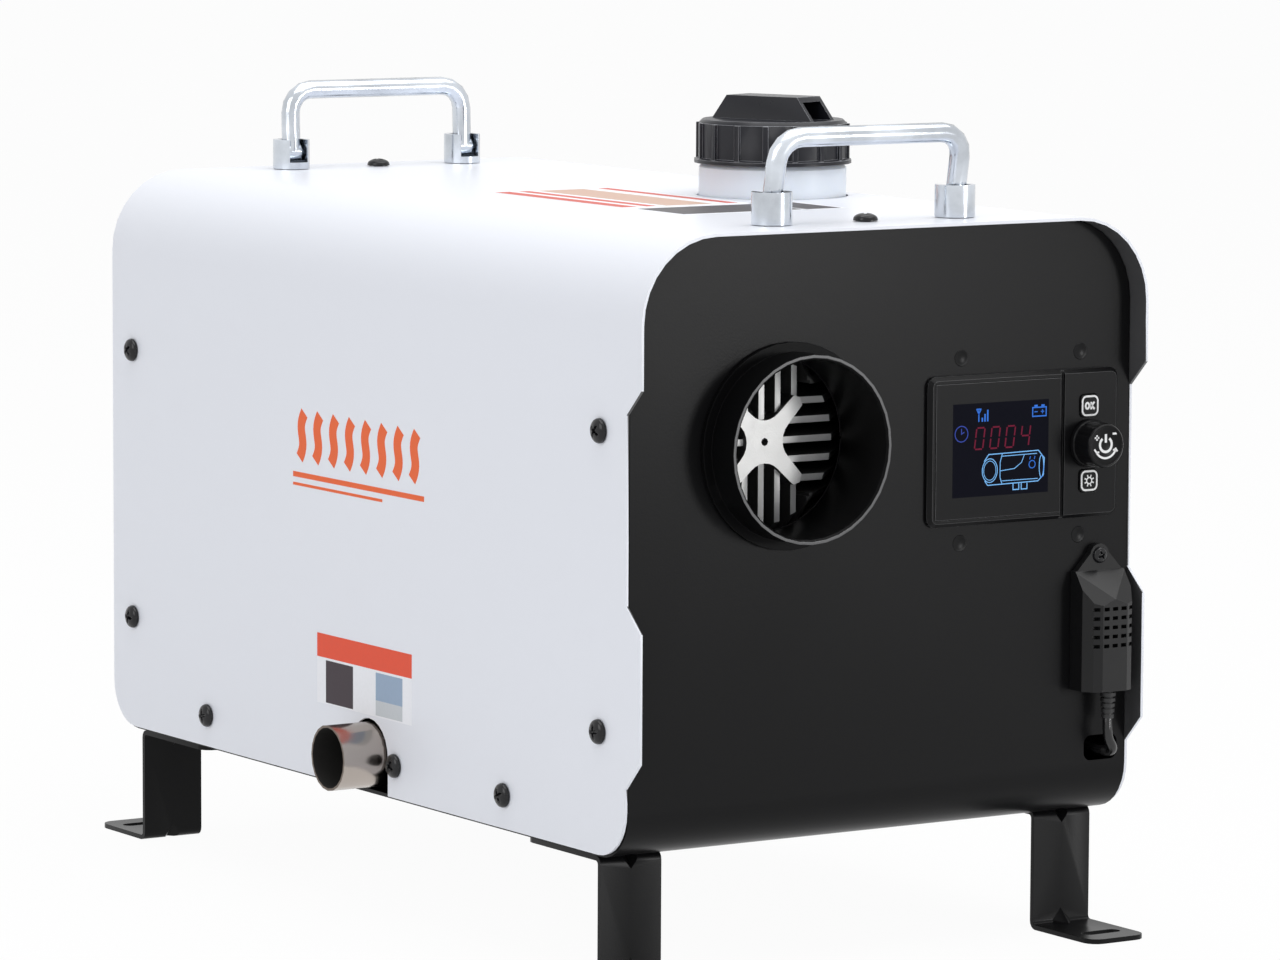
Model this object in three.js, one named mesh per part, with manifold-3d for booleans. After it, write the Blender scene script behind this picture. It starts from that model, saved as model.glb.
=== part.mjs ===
// Portable diesel air heater in a sheet-steel case: heater unit, fuel tank, pump and controller.
// Millimetres, +Z up. The case is drawn with x = 0 midway between the side walls, y = 0 on the
// front panel's face (+y to the rear) and z = 0 at the lower edge of the side walls.
import * as THREE from "three";
import { ConvexGeometry } from "three/addons/geometries/ConvexGeometry.js";
import { mergeVertices } from "three/addons/utils/BufferGeometryUtils.js";
import Module from "manifold-3d";

const wasm = await Module();
wasm.setup();

// ---------- Driving dimensions ----------
const SEAT = 0.3; // gap between pieces that touch
const FIT = 0.4; // clearance of a sheet-metal or slip fit, on each side
const PAST = 1; // how far a cutter or a joined root reaches past the face it meets
const HAIR = 0.01; // keeps a cutter's face out of another face's plane

// Cover and chassis
const CASE_W = 240;
const CASE_D = 414.4;
const CASE_H = 240.5;
const SHEET = 1.2;
const TOP_R = 34;
const BEND_R = 19;
const BASE_DROP = 1; // the bottom shows below the side walls
const LIP = 10.2; // the cover stands ahead of the front panel
const GRIP_NOTCH = { outTop: 181.9, inTop: 171.9, inLow: 98.7, outLow: 88.9 };
const LIP_FOOT = { out: 38.8, in: 28 };
const SIDE_FLANGE = 28;
const BASE_FLANGE = 24;

// Case screws
const SCREW_HEAD_R = 4.9;
const SCREW_HEAD_H = 3;
const SCREW_RIM_H = 0.6;
const SCREW_R = 2;
const SCREW_L = 8;
const SCREW_INSET = 18.4;
const SCREW_UPPER_Z = 164.4;
const SCREW_LOWER_Z = 48.1;
const BASE_SCREW_Z = 13.4;
const BASE_SCREW_Y = [88.4, 172.7, 329.8];
const TOP_SCREW_INSET = { front: 15, rear: 23.4 };

// Legs
const LEG_H = 49; // underside of the chassis to the floor
const LEG_W = 28;
const LEG_T = 2;
const LEG_SIDE_INSET = 2.5;
const LEG_INSET = 21;
const LEG_FLANGE = 56;
const LEG_FOOT = 40;
const LEG_BEND = 1.5;
const FOOT_CORNER_R = 6;
const FOOT_SLOT = { length: 18, width: 6.2, out: 27 };
const DENT_W = 10;
const DENT_D = 6;

// Handles
const HANDLE_SPAN = 87;
const HANDLE_INSET = { front: 16, rear: 22.4 };
const ROD_R = 4;
const HANDLE_RISE = 38.4; // top of the cover to the top of the bar
const HANDLE_CORNER_R = 14;
const POST_R = 8;
const POST_H = 13;
const POST_STUD_R = 3;
const POST_STUD_L = 9;
const PIN_H = 7.6;
const PIN_R = 1.5;
const PIN_L = 14.8;
const BAIL_EYE_W = 6.4;
const FRONT_LEAN = 10; // degrees outwards at rest
const REAR_LEAN = 2;

// Hot-air outlet and heater unit
const JACKET_SIDE_GAP = 4.8; // left wall to the jacket
const AXIS_DROP = 84.3; // top of the cover down to the heater's axis
const OUTLET_R = 36.75;
const OUTLET_WALL = 2;
const OUTLET_OUT = 17.5;
const OUTLET_IN = 14;
const OUTLET_FLANGE_R = 40.5;
const OUTLET_FLANGE_T = 2;
const OUTLET_LIP = 0.8; // bevel inside the mouth
const JACKET_R = 68;
const JACKET_WALL = 2.5;
const JACKET_NOSE = 32;
const JACKET_TAIL = 12;
const JACKET_REAR_GAP = 30.1; // rear panel to the jacket
const INLET_STEP = 10; // the jacket narrows by this at its rear

// Heat exchanger
const FIN_PITCH = 7.6;
const FIN_T = 2.6;
const FINS_EACH_SIDE = 4;
const FIN_GAP = 4.5; // fin edges to the jacket
const FIN_TIP_R = 33;
const FIN_FRONT_GAP = 2.5;
const FIN_REAR_GAP = 6;
const EXCHANGER_START = 16;
const EXCHANGER_L = 190;
const CROSS_R = 23.5;
const CROSS_ARM = 6.6;
const CROSS_FILLET_R = 9;
const CROSS_TIP = { length: 1.5, share: 0.85 };
const CROSS_DEPTH = 22;
const CORE_WALL = 5;
const CORE_BORE_GAP = 2; // round the burner tube
const CORE_NOSE = 38;
const CORE_TIP = { start: 6, rise: 1, r: 11.75 };
const CORE_BORE_START = 12; // behind the nose
const END_FLANGE_R = 44;
const END_FLANGE_T = 8;
const CENTRE_HOLE_R = 1.6;
const CENTRE_HOLE_DEPTH = 5;
const PORT_BLOCK = { width: 62, ahead: 21.5, behind: 20, drop: 3, footTop: 56, baseTop: 28 };
const PORT_DROP = 19;
const PORT_WALL = 2;
const PORT_DEPTH = 10;
const EXHAUST_Y = 193.5;
const INTAKE_PITCH = 38.5; // exhaust port back to the intake port
const INTAKE_PORT_R = 9;

// Burner, blower and motor
const BURNER_R = 24;
const BURNER_WALL = 1.5;
const BURNER_L = 110;
const BURNER_FLANGE_T = 3;
const BURNER_FLANGE_R = 40;
const GLOW_PLUG_R = 5;
const GLOW_PLUG_L = 14;
const BLOWER_R = 46;
const BLOWER_L = 38;
const BLOWER_WALL = 5;
const BLOWER_EYE_R = 8.35;
const IMPELLER_R = 36;
const IMPELLER_T = 14;
const IMPELLER_PLATE_T = 2.5;
const IMPELLER_HUB_R = 7;
const IMPELLER_BLADES = 8;
const IMPELLER_TIP_GAP = 1.5;
const IMPELLER_END_GAP = 2;
const BLADE_T = 1.8;
const SHAFT_R = 3;
const SHAFT_NECK = 10; // between motor and fan
const SHAFT_PROUD = { front: 2, rear: 3 };
const RUNNING = 0.35; // radial clearance round the shaft
const MOTOR_R = 26;
const MOTOR_L = 62;
const MOTOR_FLANGE = { rim: 8, t: 4 };
const MOTOR_TAIL = { length: 5, taper: 8 };
const FAN_GAP = 1;
const FAN_HUB_R = 15;
const FAN_T = 22;
const FAN_BLADES = 9;
const FAN_PITCH = 38; // degrees
const FAN_ROOT = 2; // how deep a blade sits in the hub
const FAN_BLADE_INSET = 3;
const FAN_NOSE = { length: 4, taper: 5 };
const BOARD = { width: 66, length: 62, t: 1.6, inset: 2 };
const BOARD_PARTS = [[8, 8, 18, 18, 4], [29, 30, 22, 18, 6]]; // across, along, width, length, height

// Heater table
const TABLE_W = 68;
const TABLE_T = 1.5;
const TABLE_FOOT = 11;
const TABLE_MARGIN = 4;

// Exhaust and combustion intake
const EXHAUST_R = 13.5;
const EXHAUST_WALL = 1;
const EXHAUST_Z = 15.3;
const EXHAUST_OUT = 19.5;
const EXHAUST_BEND = 0.7; // bend radius as a share of the drop from the heater's port
const EXHAUST_NOTCH_GAP = 1.4;
const SILENCER_R = 20;
const SILENCER_H = 42;
const SILENCER_WALL = 2;
const SILENCER_TAPER = 5;
const SNOUT_R = 11;

// Fuel tank, filler and cap
const TANK_SIDE_GAP = 4;
const TANK_FRONT = 42;
const TANK_REAR_GAP = 42.4; // rear panel to the tank
const TANK_LOW = 42;
const TANK_TOP_GAP = 17.5; // top of the cover down to the tank
const TANK_WALL = 3;
const TANK_CORNER_R = 12;
const TANK_EDGE_R = 5;
const TANK_TO_JACKET = 6;
const TANK_LEDGE = 12; // straight rise beside the jacket
const TANK_SHELF_T = 1.5;
const TANK_SHELF_W = 60;
const TANK_SHELF_SHIFT = 40; // behind the tank's middle
const TANK_SHELF_GAP = 3;
const NECK_TO_JACKET = 29; // jacket's side to the filler's axis
const NECK_Y = 156;
const NECK_R = 30.5;
const NECK_WALL = 3;
const FINISH_STEP = 3.5; // the neck's threaded part is narrower, inside the cap
const NECK_RISE = 27.5; // top of the cover up to the neck's rim
const NECK_CHAMFER = 1.5;
const NECK_HOLE_GAP = 1;
const SEAL_T = 1.8;
const SEAL_OVERHANG = 1;
const CAP_WALL = 4.3; // ribs included
const CAP_LIP = 0.8;
const CAP_LIP_H = 2.2;
const CAP_LIP_EDGE = 0.6;
const CAP_EDGE = 1.5;
const CAP_SKIRT = 14; // the neck's rim down to the cap's lower edge
const CAP_CROWN = 1.6;
const CAP_BORE_GAP = 0.5;
const CAP_RIB = { count: 16, width: 2.2, height: 1.1, root: 0.8, foot: 0.5, head: 1.6, turn: 0.25 };
const GRIP = { base: 50, top: 35, height: 9.6, width: 17, wall: 2, root: 0.5, turn: -68 };

// Fuel filter, pump and lines
const PUMP_INSET = 42; // right wall to the pump's axis
const PUMP_R = 14;
const PUMP_LOW_GAP = 1;
const PUMP_FRONT = 118;
const PUMP_L = 82;
const PUMP_NOSE = { step: 5, length: 16 };
const PUMP_TAIL = { step: 4, length: 10 };
const PUMP_BEVEL = 2;
const FILTER_R = 11;
const FILTER_L = 46;
const FILTER_NECK = { step: 2, length: 6, taper: 6 };
const FILTER_TAIL = { length: 7, taper: 5 };
const NIPPLE_R = 3;
const NIPPLE_L = 9;
const NIPPLE_INSET = 30; // the tank's rear to its outlet
const HOSE_R = 3.5;
const HOSE_BEND_R = 14;
const HOSE_GAP = 1.5;
const FUEL_INLET_PITCH = 14; // intake port back to the fuel inlet

// Controller
const CTRL_W = 92.6;
const CTRL_H = 59.6;
const CTRL_RIGHT = 8.4; // bezel's right edge to the cover's right side
const CTRL_Z = 149.8;
const CTRL_PROUD = 3;
const CTRL_CORNER_R = 2.5;
const CTRL_CHAMFER = 1.6;
const CTRL_BACK_D = 22;
const CTRL_BACK_MARGIN = 4;
const LENS = { left: 3, width: 60.5, margin: 3, depth: 1.6, proud: 0.2 };
const DIVIDER_W = 1.8;
const DIVIDER_D = 1.2;
const KEY_COLUMN = 15.2; // bezel's right edge to the keys' and the knob's axis
const KEY_RISE = 15;
const KEY_SIZE = 9;
const KEY_PROUD = 0.9;
const KEY_DEPTH = 5;
const KEY_CORNER_R = 1.7;
const KEY_TRAVEL = 0.8;
const KNOB_R = 9.6;
const KNOB_L = 11;
const KNOB_GAP = 1;
const KNOB_COLLAR = { height: 1.2, step: 0.5, taper: 0.6 };
const KNOB_RIM = [[0.7, 1.6], [1.6, 0.3], [2.6, 0], [3.4, 0.5]]; // in from the side, back from the face
const FLUTE = { count: 12, radius: 0.6, inset: 0.3 };
const STEM_R = 3;
const STEM_PROUD = 3; // behind the wheel
const STEM_END_GAP = 2;
const WHEEL_R = 6.5;
const WHEEL_T = 4;
const WHEEL_Y = 7;
const WHEEL_GAP = 0.5;

// Sensor module
const SENSOR_W = 24;
const SENSOR_D = 14;
const SENSOR_RIGHT = 5.4;
const SENSOR_LOW = 50.8;
const SENSOR_TOP = 98.5;
const SENSOR_FACET_Z = 88;
const SENSOR_BEVEL = { size: 6, waist: 2.7, rise: 1.6 };
const EAR_T = 3;
const EAR_RISE = 6;
const EAR_R = 4.6;
const EAR_ARC_START = 0.2; // radians
const EAR_ROOT = 3;
const EAR_SHOULDER = 1;
const EAR_HOLE_R = 1.7;
const VENT = {
  rows: 5, columns: 5, width: 2.6, height: 1.5, rowPitch: 3.7, colPitch: 4.2, depth: 3, low: 68.5,
};
const LEAD_R = 2;
const LEAD_OFFSET = 2; // the module's middle to the lead
const LEAD_DROP = 8; // straight down out of the module
const LEAD_BOW = 6; // where the lead turns in, above the hole's middle
const LEAD_TAIL = 8; // behind the panel
const RELIEF = { radius: 3.2, ribs: 5, taper: 0.16, pitch: 2.2, height: 1.5 };
const LEAD_HOLE = { width: 16.5, height: 10.2, z: 26.2, right: 5.2 };

// Rear panel
const GRILLE_R = 62;
const GRILLE_T = 3;
const GRILLE_RINGS = 3;
const GRILLE_BAR = 3;
const GRILLE_SPOKES = 6;
const GRILLE_RIM = 7;
const INLET_SOCKET = {
  width: 30, height: 22, cornerR: 3, proud: 6, inset: 42, z: 60, wall: 3, depth: 12, behind: 10,
  pin: 5, pinR: 1.2, pinOffset: 3.75,
};

// ---------- Values worked out from them ----------
const HALF_W = CASE_W / 2;
const CHASSIS_HALF = HALF_W - SHEET - FIT;
const CHASSIS_TOP = CASE_H - SHEET - FIT;
const FLOOR_Z = -BASE_DROP - LEG_H;
const BASE_TOP = SHEET - BASE_DROP;
const AXIS_X = SHEET + JACKET_SIDE_GAP + JACKET_R - HALF_W;
const AXIS_Z = CASE_H - AXIS_DROP;
const JACKET_START = OUTLET_IN + SEAT;
const JACKET_END = CASE_D - JACKET_REAR_GAP;
const INLET_R = JACKET_R - INLET_STEP;
const FAN_R = INLET_R - FAN_GAP;
const EXCHANGER_END = EXCHANGER_START + EXCHANGER_L;
const FIN_R = JACKET_R - JACKET_WALL - FIN_GAP;
const CORE_BORE_R = BURNER_R + CORE_BORE_GAP;
const CORE_R = CORE_BORE_R + CORE_WALL;
const INTAKE_Y = EXHAUST_Y + INTAKE_PITCH;
const FUEL_INLET_Y = INTAKE_Y + FUEL_INLET_PITCH;
const PORT_BELOW = JACKET_R + PORT_BLOCK.drop;
const PORT_FRONT = EXHAUST_Y - PORT_BLOCK.ahead;
const PORT_REAR = INTAKE_Y + PORT_BLOCK.behind;
const BLOWER_START = EXCHANGER_END + BURNER_FLANGE_T + 2 * SEAT;
const BLOWER_END = BLOWER_START + BLOWER_L;
const MOTOR_START = BLOWER_END + SEAT;
const MOTOR_END = MOTOR_START + MOTOR_L;
const FAN_START = MOTOR_END + SHAFT_NECK;
const IMPELLER_START = BLOWER_START + BLOWER_WALL + IMPELLER_END_GAP;
const EXHAUST_PORT_R = EXHAUST_R - EXHAUST_WALL - SEAT;
const EXHAUST_BEND_R = EXHAUST_BEND * (AXIS_Z - PORT_BELOW - PORT_DROP - EXHAUST_Z);
const TABLE_TOP = AXIS_Z - PORT_BELOW - SEAT;
const TANK_REAR = CASE_D - TANK_REAR_GAP;
const TANK_TOP = CASE_H - TANK_TOP_GAP;
const NECK_X = AXIS_X + JACKET_R + NECK_TO_JACKET;
const NECK_TOP = CASE_H + NECK_RISE;
const FINISH_R = NECK_R - FINISH_STEP;
const CAP_R = FINISH_R + CAP_BORE_GAP + CAP_WALL;
const CAP_LIP_R = CAP_R + CAP_LIP;
const SEAL_TOP = NECK_TOP + SEAT + SEAL_T;
const CAP_LOW = NECK_TOP - CAP_SKIRT;
const CAP_TOP = SEAL_TOP + SEAT + CAP_CROWN;
const CTRL_X = HALF_W - CTRL_RIGHT - CTRL_W / 2;
const KEY_X = HALF_W - CTRL_RIGHT - KEY_COLUMN;
const SENSOR_X = HALF_W - SENSOR_RIGHT - SENSOR_W / 2;
const PUMP_X = HALF_W - PUMP_INSET;
const PUMP_Z = BASE_TOP + PUMP_LOW_GAP + PUMP_R;
const NIPPLE_Y = TANK_REAR - NIPPLE_INSET;
const FILTER_START = PUMP_FRONT + PUMP_L + NIPPLE_L + SEAT;
const FILTER_END = FILTER_START + FILTER_L;
const DEG = Math.PI / 180;

// ---------- Materials ----------
const finish = (color, roughness, metalness) =>
  new THREE.MeshStandardMaterial({ color, roughness, metalness });
const whitePaint = finish(0xe9ecf3, 0.32, 0);
const blackPaint = finish(0x202123, 0.38, 0.1);
const blackPlastic = finish(0x18191b, 0.42, 0);
const screwBlack = finish(0x1a1a1c, 0.35, 0.5);
const zinc = finish(0xc9ced2, 0.25, 1);
const stainless = finish(0xb3a79a, 0.22, 1);
const castAluminium = finish(0xc8c8c6, 0.5, 1);
const steel = finish(0x9a9c9e, 0.4, 1);
const tankWhite = finish(0xe4e8ee, 0.45, 0);
const capBlack = finish(0x2b2c31, 0.5, 0);
const rubber = finish(0x141414, 0.85, 0);
const smokedLens = finish(0x0b0d16, 0.08, 0);
const boardGreen = finish(0x1f5a35, 0.6, 0);

// ---------- Solids ----------
function solid(geometry) {
  const g = geometry.index ? geometry.toNonIndexed() : geometry.clone();
  for (const name of Object.keys(g.attributes)) if (name !== "position") g.deleteAttribute(name);
  const merged = mergeVertices(g, 1e-4);
  const index = merged.index.array;
  const kept = [];
  for (let i = 0; i < index.length; i += 3) {
    const [a, b, c] = [index[i], index[i + 1], index[i + 2]];
    if (a !== b && b !== c && c !== a) kept.push(a, b, c);
  }
  const vertProperties = merged.attributes.position.array;
  return new wasm.Manifold(new wasm.Mesh({ numProp: 3, vertProperties, triVerts: new Uint32Array(kept) }));
}

function geometryOf(manifold) {
  const mesh = manifold.getMesh();
  const g = new THREE.BufferGeometry();
  g.setAttribute("position", new THREE.BufferAttribute(new Float32Array(mesh.vertProperties), 3));
  g.setIndex(new THREE.BufferAttribute(new Uint32Array(mesh.triVerts), 1));
  const flat = g.toNonIndexed();
  flat.computeVertexNormals();
  return flat;
}

const join = (...parts) => parts.reduce((all, part) => all.add(part));
const cut = (body, ...tools) => tools.reduce((left, tool) => left.subtract(tool), body);

function part(name, material, body) {
  const mesh = new THREE.Mesh(geometryOf(body), material);
  mesh.name = name;
  return mesh;
}

// Axes for an outline drawn in (y, z), (x, z) or (x, y) and pushed along x, y or z.
const FACING = {
  x: new THREE.Matrix4().makeBasis(
    new THREE.Vector3(0, 1, 0), new THREE.Vector3(0, 0, 1), new THREE.Vector3(1, 0, 0)),
  y: new THREE.Matrix4().makeBasis(
    new THREE.Vector3(1, 0, 0), new THREE.Vector3(0, 0, 1), new THREE.Vector3(0, -1, 0)),
  z: new THREE.Matrix4(),
};

function prism(outline, axis, from, to, curveSegments = 4) {
  const g = new THREE.ExtrudeGeometry(outline, { depth: to - from, bevelEnabled: false, curveSegments });
  g.applyMatrix4(FACING[axis]);
  g.translate(axis === "x" ? from : 0, axis === "y" ? to : 0, axis === "z" ? from : 0);
  return solid(g);
}

// A profile of [radius, height] points, closed on itself or on the axis, turned about x, y or z.
function turned(profile, axis, sides = 24) {
  const points = profile.map(([r, h]) => new THREE.Vector2(r, h));
  if (profile[0][0] !== 0 || profile.at(-1)[0] !== 0) points.push(points[0].clone());
  const g = new THREE.LatheGeometry(points, sides);
  if (axis === "z") g.rotateX(Math.PI / 2);
  if (axis === "x") g.rotateZ(-Math.PI / 2);
  const body = solid(g);
  return body.volume() > 0 ? body : turned([...profile].reverse(), axis, sides);
}

function rod(radius, axis, from, to, [a, b] = [0, 0], sides = 20) {
  const body = turned([[0, from], [radius, from], [radius, to], [0, to]], axis, sides);
  const at = { x: [0, a, b], y: [a, 0, b], z: [a, b, 0] }[axis];
  return body.translate(at);
}

function block(x0, x1, y0, y1, z0, z1) {
  const g = new THREE.BoxGeometry(x1 - x0, y1 - y0, z1 - z0);
  return solid(g.translate((x0 + x1) / 2, (y0 + y1) / 2, (z0 + z1) / 2));
}

function polygon(points) {
  return new THREE.Shape(points.map(([a, b]) => new THREE.Vector2(a, b)));
}

function roundedPolygon(points, radius) {
  const corner = points.map(([a, b]) => new THREE.Vector2(a, b));
  const shape = new THREE.Shape();
  corner.forEach((p, i) => {
    const before = corner.at(i - 1);
    const after = corner[(i + 1) % corner.length];
    const [u, v] = [before.clone().sub(p).normalize(), after.clone().sub(p).normalize()];
    const half = Math.acos(THREE.MathUtils.clamp(u.dot(v), -1, 1)) / 2;
    const reach = radius / Math.tan(half);
    const [start, end] = [p.clone().addScaledVector(u, reach), p.clone().addScaledVector(v, reach)];
    if (i) shape.lineTo(start.x, start.y);
    else shape.moveTo(start.x, start.y);
    const centre = p.clone().addScaledVector(u.clone().add(v).normalize(), radius / Math.sin(half));
    const angle = (q) => Math.atan2(q.y - centre.y, q.x - centre.x);
    shape.absarc(centre.x, centre.y, radius, angle(start), angle(end), u.cross(v) > 0);
  });
  shape.closePath();
  return shape;
}

const roundedRect = (width, height, radius, cx = 0, cy = 0) =>
  roundedPolygon([
    [cx - width / 2, cy - height / 2], [cx + width / 2, cy - height / 2],
    [cx + width / 2, cy + height / 2], [cx - width / 2, cy + height / 2],
  ], radius);

// The same polygon with every side moved inwards by the wall.
function inset(points, wall) {
  const corner = points.map(([a, b]) => new THREE.Vector2(a, b));
  return corner.map((p, i) => {
    const [u, v] = [p.clone().sub(corner.at(i - 1)), corner[(i + 1) % corner.length].clone().sub(p)];
    const [m, n] = [u, v].map((w) => new THREE.Vector2(-w.y, w.x).normalize());
    const along = m.clone().add(n).multiplyScalar(wall / (1 + m.dot(n)));
    return [p.x + along.x, p.y + along.y];
  });
}

// The end view of the cover: straight sides with two round top corners.
function archShape(halfWidth, top, radius, low) {
  const s = new THREE.Shape();
  s.moveTo(-halfWidth, low);
  s.lineTo(halfWidth, low);
  s.lineTo(halfWidth, top - radius);
  s.absarc(halfWidth - radius, top - radius, radius, 0, Math.PI / 2);
  s.lineTo(-halfWidth + radius, top);
  s.absarc(-halfWidth + radius, top - radius, radius, Math.PI / 2, Math.PI);
  s.closePath();
  return s;
}

// The side view of the chassis: a trough with two round bottom corners.
function troughShape(front, rear, low, top, radius) {
  const s = new THREE.Shape();
  s.moveTo(front, top);
  s.lineTo(front, low + radius);
  s.absarc(front + radius, low + radius, radius, Math.PI, Math.PI * 1.5);
  s.lineTo(rear - radius, low);
  s.absarc(rear - radius, low + radius, radius, -Math.PI / 2, 0);
  s.lineTo(rear, top);
  s.closePath();
  return s;
}

// A round bar along a curve; a fraction of the tube's own sections is enough on straight runs.
function sweep(path, radius, steps, sides) {
  const section = new THREE.Shape().absarc(0, 0, radius, 0, Math.PI * 2);
  return solid(new THREE.ExtrudeGeometry(section, { steps, extrudePath: path, curveSegments: sides / 2 }));
}

const smooth = (points) => new THREE.CatmullRomCurve3(points.map((p) => new THREE.Vector3(...p)));

// Straight runs joined by arcs of one radius: one step on a run, several on an arc.
class BentRoute extends THREE.Curve {
  constructor(points, radius, arcSteps) {
    super();
    const route = points.map((p) => new THREE.Vector3(...p));
    this.steps = [];
    let from = route[0];
    for (let i = 1; i < route.length - 1; i++) {
      const [u, v] = [route[i - 1], route[i + 1]].map((p) => p.clone().sub(route[i]).normalize());
      const half = u.angleTo(v) / 2;
      const centre = route[i].clone().addScaledVector(u.clone().add(v).normalize(), radius / Math.sin(half));
      const start = route[i].clone().addScaledVector(u, radius / Math.tan(half));
      const axis = new THREE.Vector3().crossVectors(v, u).normalize();
      const turn = (share) =>
        start.clone().sub(centre).applyAxisAngle(axis, share * (Math.PI - 2 * half)).add(centre);
      const begin = from;
      this.steps.push((share) => begin.clone().lerp(start, share));
      for (let k = 0; k < arcSteps; k++) this.steps.push((share) => turn((k + share) / arcSteps));
      from = turn(1);
    }
    this.steps.push((share) => from.clone().lerp(route.at(-1), share));
  }
  getPoint(t, target = new THREE.Vector3()) {
    const place = Math.min(t * this.steps.length, this.steps.length - 1e-9);
    return target.copy(this.steps[Math.floor(place)](place - Math.floor(place)));
  }
  getPointAt(t, target) {
    return this.getPoint(t, target);
  }
  getTangentAt(t, target) {
    return this.getTangent(t, target);
  }
}

function bentBar(points, radius, bendRadius, arcSteps, sides) {
  const path = new BentRoute(points, bendRadius, arcSteps);
  return sweep(path, radius, path.steps.length, sides);
}

// ---------- Cover and chassis ----------
const sideScrews = [];
for (const y of [SCREW_INSET, CASE_D - SCREW_INSET])
  for (const z of [SCREW_UPPER_Z, SCREW_LOWER_Z]) sideScrews.push([y, z]);
for (const y of BASE_SCREW_Y) sideScrews.push([y, BASE_SCREW_Z]);
const topScrews = [TOP_SCREW_INSET.front, CASE_D - TOP_SCREW_INSET.rear];
const handleRows = [HANDLE_INSET.front, CASE_D - HANDLE_INSET.rear];

// Holes that the case screws pass through, as rods.
function screwHoles(radius) {
  const sides = sideScrews.map((at) => rod(radius, "x", -HALF_W - PAST, HALF_W + PAST, at, 8));
  const tops = topScrews.map((y) => rod(radius, "z", CASE_H - SIDE_FLANGE / 2, CASE_H + PAST, [0, y], 8));
  return [...sides, ...tops];
}

function exhaustNotch(low) {
  const r = EXHAUST_R + EXHAUST_NOTCH_GAP;
  const s = new THREE.Shape();
  s.moveTo(EXHAUST_Y - r, low);
  s.lineTo(EXHAUST_Y + r, low);
  s.lineTo(EXHAUST_Y + r, EXHAUST_Z);
  s.absarc(EXHAUST_Y, EXHAUST_Z, r, 0, Math.PI);
  s.closePath();
  return prism(s, "x", -HALF_W - PAST, -HALF_W + SIDE_FLANGE, 6);
}

function caseShell() {
  const beyond = LIP + PAST;
  const outer = prism(archShape(HALF_W, CASE_H, TOP_R, 0), "y", -LIP, CASE_D);
  const inner = prism(
    archShape(HALF_W - SHEET, CASE_H - SHEET, TOP_R - SHEET, -PAST), "y", -LIP - PAST, CASE_D + PAST);
  const gripNotch = polygon([
    [-beyond, GRIP_NOTCH.outTop], [-beyond, GRIP_NOTCH.outLow], [-LIP, GRIP_NOTCH.outLow],
    [0, GRIP_NOTCH.inLow], [0, GRIP_NOTCH.inTop], [-LIP, GRIP_NOTCH.outTop],
  ]);
  const frontFoot = new THREE.Shape();
  frontFoot.moveTo(-beyond, -PAST);
  frontFoot.lineTo(BEND_R, -PAST);
  frontFoot.lineTo(BEND_R, 0);
  frontFoot.absarc(BEND_R, BEND_R, BEND_R, -Math.PI / 2, -Math.PI, true);
  frontFoot.lineTo(0, LIP_FOOT.in);
  frontFoot.lineTo(-LIP, LIP_FOOT.out);
  frontFoot.lineTo(-beyond, LIP_FOOT.out);
  frontFoot.closePath();
  const rearFoot = new THREE.Shape();
  rearFoot.moveTo(CASE_D + PAST, -PAST);
  rearFoot.lineTo(CASE_D + PAST, BEND_R);
  rearFoot.lineTo(CASE_D, BEND_R);
  rearFoot.absarc(CASE_D - BEND_R, BEND_R, BEND_R, 0, -Math.PI / 2, true);
  rearFoot.lineTo(CASE_D - BEND_R, -PAST);
  rearFoot.closePath();
  const acrossBoth = (shape) => prism(shape, "x", -HALF_W - PAST, HALF_W + PAST);
  const studs = handleRows.flatMap((y) =>
    [-1, 1].map((side) =>
      rod(POST_STUD_R + FIT, "z", CASE_H - SHEET - PAST, CASE_H + PAST, [side * HANDLE_SPAN / 2, y], 8)));
  return cut(
    outer, inner, acrossBoth(gripNotch), acrossBoth(frontFoot), acrossBoth(rearFoot), exhaustNotch(-PAST),
    rod(NECK_R + NECK_HOLE_GAP, "z", CASE_H - TOP_R, CASE_H + PAST, [NECK_X, NECK_Y], 28),
    ...screwHoles(SCREW_R + 2 * SEAT), ...studs);
}

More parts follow.
